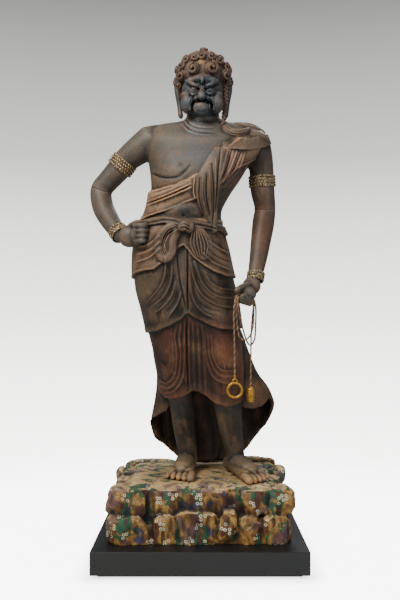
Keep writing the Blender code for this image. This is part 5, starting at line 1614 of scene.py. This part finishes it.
def makeRock(material):
    bm = bmesh.new()
    random = np.random.default_rng(rockSetup["seed"])
    height = rockSetup["height"]
    coreX, coreY = rockSetup["width"] / 2 - 0.042, rockSetup["depth"] / 2 - 0.042
    addBoulder(bm, (-coreX, -coreY + 0.015, -0.05), (coreX, coreY, height + 0.001), 0, 0.22)
    addBoulder(bm, (-0.31, -0.30, -0.02), (0.31, 0.31, 0.075), 0, 0.3)
    tiers = (rockSetup["front"], rockSetup["side"], rockSetup["side"], rockSetup["side"])
    for turns, tier in enumerate(tiers):
        for k, (middle, half, face, low, high) in enumerate(tier):
            if turns == 2:
                face -= 0.012
            if turns == 3:
                middle = -middle
            depth = 0.11 + 0.01 * (k % 3)
            addBoulder(bm, (middle - half, -face, low), (middle + half, -face + depth, high), turns,
                       rockSetup["blunt"], rockSetup["facets"], random)
    for x, y, halfX, halfY, rise in rockSetup["top"]:
        addBoulder(bm, (x - halfX, y - halfY, height - 0.05), (x + halfX, y + halfY, height + rise))
    rock = fused("rockBase", bm, rockSetup["grain"], evening=2)
    points, normals = meshArrays(rock.data)
    # gouges that run down the faces, and hollows; little on the flat ground under the feet
    flat = (normals[:, 2] > 0.75) & (np.abs(points[:, 0]) < 0.25) & (points[:, 1] > -0.27)
    rough = np.where(flat, 0.12, 1.0)
    lift = 0.0036 * waves(points * np.array((1, 1, 0.5)), 0.060, 3)
    lift += 0.0026 * (1 - 3 * np.abs(waves(points * np.array((1, 1, 0.4)), 0.036, 5)))
    lift += 0.0012 * waves(points * np.array((1, 1, 0.5)), 0.014, 8)
    lift -= 0.0036
    points = points + normals * (lift * rough)[:, None]
    points[:, 2] = np.where(points[:, 2] > height, height + (points[:, 2] - height) * 0.9, points[:, 2])
    setPoints(rock.data, points)
    thinTo(rock, rockSetup["triangles"])
    bm = bmesh.new()
    bm.from_mesh(rock.data)
    bpy.data.objects.remove(rock)
    geometry = list(bm.verts) + list(bm.edges) + list(bm.faces)
    cut = bmesh.ops.bisect_plane(
        bm, geom=geometry, dist=1e-6, plane_co=(0, 0, 0), plane_no=(0, 0, 1), clear_inner=True)
    rim = [item for item in cut["geom_cut"] if isinstance(item, bmesh.types.BMEdge)]
    bmesh.ops.triangle_fill(bm, edges=rim, use_beauty=True)
    # the feet stand on level ground
    for vert in bm.verts:
        if abs(vert.co.x) < 0.30 and -0.29 < vert.co.y < 0.13 and vert.co.z > height - 0.012:
            vert.co.z = min(vert.co.z, height)
    bmesh.ops.transform(bm, verts=bm.verts, matrix=Matrix.Translation((0, 0, rockSetup["floor"])))
    # a flat map on each side, in metres, for the painted ringlets
    layer = bm.loops.layers.uv.new("UVMap")
    for face in bm.faces:
        ax, ay, az = (abs(c) for c in face.normal)
        for loop in face.loops:
            x, y, z = loop.vert.co
            if az > 0.7:
                loop[layer].uv = (x, y)
            elif ax > ay:
                loop[layer].uv = (y + 2.0, z)
            else:
                loop[layer].uv = (x, z + 1.0)
    piece = finishPiece("rockBase", bm, material, "rock_base")
    setShare(piece.data, "hollow", hollowShare(piece.data, 26, 0.011))
    setShare(piece.data, "upward", np.clip((meshArrays(piece.data)[1][:, 2] - 0.6) / 0.3, 0, 1))
    print("rock", len(piece.data.polygons))
    return piece


def paintedRockMaterial():
    # carved wood under mineral colours in glue: flat chalky patches, ringlets of flowers dabbed
    # over them, painted shade in the clefts and painted highlights on the ridges
    material, tree, shader = newMaterial("mineralPaintedRock")
    coords = node(tree, "ShaderNodeTexCoord")
    spot, flat = coords.outputs["Object"], coords.outputs["UV"]
    hollow = node(tree, "ShaderNodeAttribute", attribute_name="hollow").outputs["Fac"]
    # patches about 59 mm wide with brushed edges, drawn out downwards
    drawn = node(tree, "ShaderNodeMapping", {"Vector": spot, "Scale": (1.0, 1.0, 0.7)}).outputs[0]
    patch = node(tree, "ShaderNodeTexNoise", {
        "Vector": drawn, "Scale": repeats(58.8), "Detail": 4.0, "Roughness": 0.55, "Distortion": 0.4})
    ground = node(tree, "ShaderNodeValToRGB", {"Fac": patch.outputs["Fac"]}, stops=(
        (0.0, "#2f1d17"), (0.39, "#4a2c24"), (0.45, "#664524"), (0.51, "#8a6533"),
        (0.56, "#a18449"), (0.6, "#684a26"), (0.65, "#4f3024"), (0.8, "#33201a")))
    # the level top is plainer and paler
    upward = node(tree, "ShaderNodeAttribute", attribute_name="upward").outputs["Fac"]
    topShare = node(tree, "ShaderNodeMath", {0: upward, 1: 0.72}, operation="MULTIPLY")
    ground = node(tree, "ShaderNodeMix", {
        0: topShare.outputs[0], 6: ground.outputs["Color"], 7: colour("#cdb07e")}, data_type="RGBA")
    # strokes of green, blue and violet between patches of 77 and 67 mm
    greenNoise = node(tree, "ShaderNodeTexNoise", {
        "Vector": drawn, "Scale": repeats(76.9), "Detail": 3.0, "Distortion": 1.2})
    green = node(tree, "ShaderNodeValToRGB", {"Fac": greenNoise.outputs["Fac"]}, stops=(
        (0.0, 0.0), (0.55, 0.0), (0.57, 0.95), (0.63, 0.95), (0.66, 0.0)))
    greened = node(tree, "ShaderNodeMix", {
        0: green.outputs["Color"], 6: ground.outputs[2], 7: colour("#23543c")}, data_type="RGBA")
    blueNoise = node(tree, "ShaderNodeTexNoise", {
        "Vector": drawn, "Scale": repeats(66.7), "Detail": 3.0, "Distortion": 0.9, "Roughness": 0.4})
    blue = node(tree, "ShaderNodeValToRGB", {"Fac": blueNoise.outputs["Fac"]}, stops=(
        (0.0, 0.85), (0.33, 0.85), (0.37, 0.0)))
    blued = node(tree, "ShaderNodeMix", {
        0: blue.outputs["Color"], 6: greened.outputs[2], 7: colour("#343a58")}, data_type="RGBA")
    violet = node(tree, "ShaderNodeValToRGB", {"Fac": blueNoise.outputs["Fac"]}, stops=(
        (0.0, 0.0), (0.60, 0.0), (0.63, 0.7), (0.7, 0.7)))
    painted = node(tree, "ShaderNodeMix", {
        0: violet.outputs["Color"], 6: blued.outputs[2], 7: colour("#5b4450")}, data_type="RGBA")
    # ringlets 10 mm across, 14 mm apart, in clusters about 71 mm apart
    petals = node(tree, "ShaderNodeTexVoronoi", {
        "Vector": flat, "Scale": repeats(14.286), "Randomness": 0.5}, voronoi_dimensions="2D")
    ringlet = node(tree, "ShaderNodeValToRGB", {"Fac": petals.outputs["Distance"]}, stops=(
        (0.0, 0.0), (0.19, 0.0), (0.22, 1.0), (0.37, 1.0), (0.40, 0.0)))
    cluster = node(tree, "ShaderNodeTexVoronoi", {
        "Vector": petals.outputs["Position"], "Scale": repeats(71.43), "Randomness": 0.95},
        voronoi_dimensions="2D")
    inCluster = node(tree, "ShaderNodeMath", {0: cluster.outputs["Distance"], 1: 0.2}, operation="LESS_THAN")
    ringMask = node(tree, "ShaderNodeMath", {
        0: ringlet.outputs["Color"], 1: inCluster.outputs[0]}, operation="MULTIPLY")
    dotted = node(tree, "ShaderNodeMix", {
        0: ringMask.outputs[0], 6: painted.outputs[2], 7: colour("#d3ceb2")}, data_type="RGBA")
    # painted shade: darker the deeper the cleft, full colour on the ridges
    paintedCleftShade = node(tree, "ShaderNodeValToRGB", {"Fac": hollow}, stops=(
        (0.0, 1.0), (0.36, 0.72), (0.5, 0.5), (0.66, 0.26), (0.85, 0.1), (1.0, 0.05)))
    shaded = node(tree, "ShaderNodeMix", {0: 1.0, 6: dotted.outputs[2], 7: paintedCleftShade.outputs["Color"]},
                  data_type="RGBA", blend_type="MULTIPLY")
    grit = node(tree, "ShaderNodeTexNoise", {"Vector": spot, "Scale": repeats(4.76), "Detail": 4.0})
    # grit about 5 mm across; its gain of 1.3 to 2.1 lifts the ridges above the paint, a painted highlight
    gritAndHighlightGain = node(tree, "ShaderNodeMapRange", {
        "Value": grit.outputs["Fac"], "From Min": 0.3, "From Max": 0.7, "To Min": 1.3, "To Max": 2.1})
    final = node(tree, "ShaderNodeMix", {0: 1.0, 6: shaded.outputs[2], 7: gritAndHighlightGain.outputs[0]},
                 data_type="RGBA", blend_type="MULTIPLY")
    bump = node(tree, "ShaderNodeBump", {
        "Height": grit.outputs["Fac"], "Strength": 0.45, "Distance": 0.001})
    tree.links.new(final.outputs[2], shader.inputs["Base Color"])
    tree.links.new(bump.outputs["Normal"], shader.inputs["Normal"])
    shader.inputs["Roughness"].default_value = 0.7
    return material


def lacquerMaterial():
    # sprayed satin lacquer on board: even near-black with a faint orange peel and dust
    material, tree, shader = newMaterial("satinBlackLacquer")
    spot = node(tree, "ShaderNodeTexCoord").outputs["Object"]
    cloud = node(tree, "ShaderNodeTexNoise", {"Vector": spot, "Scale": repeats(200), "Detail": 5.0})
    shade = node(tree, "ShaderNodeMix", {
        0: cloud.outputs["Fac"], 6: colour("#2b2f2f"), 7: colour("#343838")}, data_type="RGBA")
    peel = node(tree, "ShaderNodeTexNoise", {"Vector": spot, "Scale": repeats(2.38), "Detail": 2.0})
    rough = node(tree, "ShaderNodeMapRange", {
        "Value": cloud.outputs["Fac"], "From Min": 0.3, "From Max": 0.7, "To Min": 0.42, "To Max": 0.52})
    bump = node(tree, "ShaderNodeBump", {
        "Height": peel.outputs["Fac"], "Strength": 0.12, "Distance": 0.0003})
    # the top, under the rock's shade, looks deeper than the sides
    upright = node(tree, "ShaderNodeSeparateXYZ", {0: spot})
    level = node(tree, "ShaderNodeMapRange", {
        "Value": upright.outputs["Z"], "From Min": 0.0875, "From Max": 0.0895, "To Min": 0.0, "To Max": 1.0})
    topped = node(tree, "ShaderNodeMix", {
        0: level.outputs[0], 6: shade.outputs[2], 7: colour("#15181a")}, data_type="RGBA")
    tree.links.new(topped.outputs[2], shader.inputs["Base Color"])
    tree.links.new(rough.outputs[0], shader.inputs["Roughness"])
    tree.links.new(bump.outputs["Normal"], shader.inputs["Normal"])
    return material


# Floor, light and background

studio = {
    "floorRadius": 3.2,
    "floorGlow": 7.0,
    # half of the plinth's recessed foot, round which the floor is shaded at any height
    "plinthHalf": (cadBox[1][0] - 0.022, cadBox[1][1] - 0.020, 10.0),
    "keyPower": 130,
    "fillPower": 20,
    "rimPower": 30,
    "ambient": 0.25,
}


def makeStudio():
    bm = bmesh.new()
    bmesh.ops.create_circle(bm, cap_ends=True, segments=96, radius=studio["floorRadius"])
    floor = addObject("studioFloor", meshOf(bm, "studioFloor"))
    material, tree, shader = newMaterial("palePaper")
    spot = node(tree, "ShaderNodeTexCoord").outputs["Object"]
    distance = node(tree, "ShaderNodeVectorMath", {0: spot}, operation="LENGTH")
    fade = node(tree, "ShaderNodeMapRange", {
        "Value": distance.outputs["Value"], "From Min": 0.8, "From Max": 2.6, "To Min": 1.0, "To Max": 0.0})
    fade.interpolation_type = "SMOOTHSTEP"
    # the camera sees the floor as bright as the paper behind it, and it lights nothing
    shader.inputs["Base Color"].default_value = colour("#e6e6e5")
    shader.inputs["Roughness"].default_value = 0.9
    shader.inputs["Emission Color"].default_value = colour("#ffffff")
    # a painted shadow round the plinth's foot: the floor's glow falls to 0.3 of itself at the foot and is
    # full again 90 mm away
    outside = node(tree, "ShaderNodeVectorMath", {
        0: node(tree, "ShaderNodeVectorMath", {0: spot}, operation="ABSOLUTE").outputs[0],
        1: studio["plinthHalf"]}, operation="SUBTRACT")
    beyond = node(tree, "ShaderNodeVectorMath", {0: outside.outputs[0], 1: (0, 0, 0)}, operation="MAXIMUM")
    reach = node(tree, "ShaderNodeVectorMath", {0: beyond.outputs[0]}, operation="LENGTH")
    paintedContactShadow = node(tree, "ShaderNodeMapRange", {
        "Value": reach.outputs["Value"], "From Min": 0.0, "From Max": 0.09,
        "To Min": studio["floorGlow"] * 0.3, "To Max": studio["floorGlow"]})
    seen = node(tree, "ShaderNodeMath", {
        0: node(tree, "ShaderNodeLightPath").outputs["Is Camera Ray"], 1: paintedContactShadow.outputs[0]},
        operation="MULTIPLY")
    tree.links.new(seen.outputs[0], shader.inputs["Emission Strength"])
    tree.links.new(fade.outputs[0], shader.inputs["Alpha"])
    floor.data.materials.append(material)
    # soft boxes: (place, aim, size, power, colour)
    lights = (
        ((-1.5, -2.3, 3.6), (0, 0, 1.1), 1.5, studio["keyPower"], "#fff8ee"),
        ((2.2, -2.6, 2.0), (0, 0, 1.0), 1.8, studio["fillPower"], "#f3f6ff"),
        ((0.6, 2.4, 3.2), (0, 0, 1.2), 1.6, studio["rimPower"], "#ffffff"),
    )
    for k, (spotAt, target, size, power, shade) in enumerate(lights):
        data = bpy.data.lights.new(f"softBox{k}", "AREA")
        data.shape = "DISK"
        data.size = size
        data.energy = power
        data.color = colour(shade)[:3]
        lamp = bpy.data.objects.new(f"softBox{k}", data)
        lamp.location = spotAt
        lamp.rotation_euler = (Vector(target) - Vector(spotAt)).to_track_quat("-Z", "Y").to_euler()
        bpy.context.scene.collection.objects.link(lamp)
    world = bpy.data.worlds.new("studioWorld")
    world.use_nodes = True
    tree = world.node_tree
    tree.nodes.clear()
    direction = node(tree, "ShaderNodeTexCoord").outputs["Generated"]
    height = node(tree, "ShaderNodeSeparateXYZ", {0: direction})
    level = node(tree, "ShaderNodeMapRange", {
        "Value": height.outputs["Z"], "From Min": -0.34, "From Max": 0.36})
    wall = node(tree, "ShaderNodeValToRGB", {"Fac": level.outputs[0]}, stops=(
        (0.0, 1.0), (0.3, 0.66), (0.5, 0.36), (0.75, 0.13), (1.0, 0.044)))
    tinted = node(tree, "ShaderNodeMix", {
        0: 1.0, 6: wall.outputs["Color"], 7: (1.0, 1.0, 0.965, 1.0)}, data_type="RGBA", blend_type="MULTIPLY")
    shown = node(tree, "ShaderNodeBackground", {"Color": tinted.outputs[2], "Strength": 8.0})
    lit = node(tree, "ShaderNodeBackground", {"Color": colour("#f2f3f5"), "Strength": studio["ambient"]})
    ray = node(tree, "ShaderNodeLightPath")
    mixed = node(tree, "ShaderNodeMixShader", {
        0: ray.outputs["Is Camera Ray"], 1: lit.outputs[0], 2: shown.outputs[0]})
    node(tree, "ShaderNodeOutputWorld", {"Surface": mixed.outputs[0]})
    bpy.context.scene.world = world


print("camera")
setCamera()
gold = giltMaterial("fireGiltCopper", "#dba94c", "#a06f30", 0.42)
dullGold = giltMaterial("wornGiltCopper", "#c6b28f", "#7b6a54", 0.5)
fittings = [makeRing(gold), makeWeight(gold)]
print("cord", round(makeCord(), 3), "m")
for bandName in bands:
    makeBand(bandName, dullGold)
print("bands")
makeFigure(agedWoodMaterial())
makeRock(paintedRockMaterial())
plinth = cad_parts["plinth"]
lacquer = lacquerMaterial()
for slot in plinth.material_slots:
    slot.material = lacquer
print("plinth")
makeStudio()
print("studio")
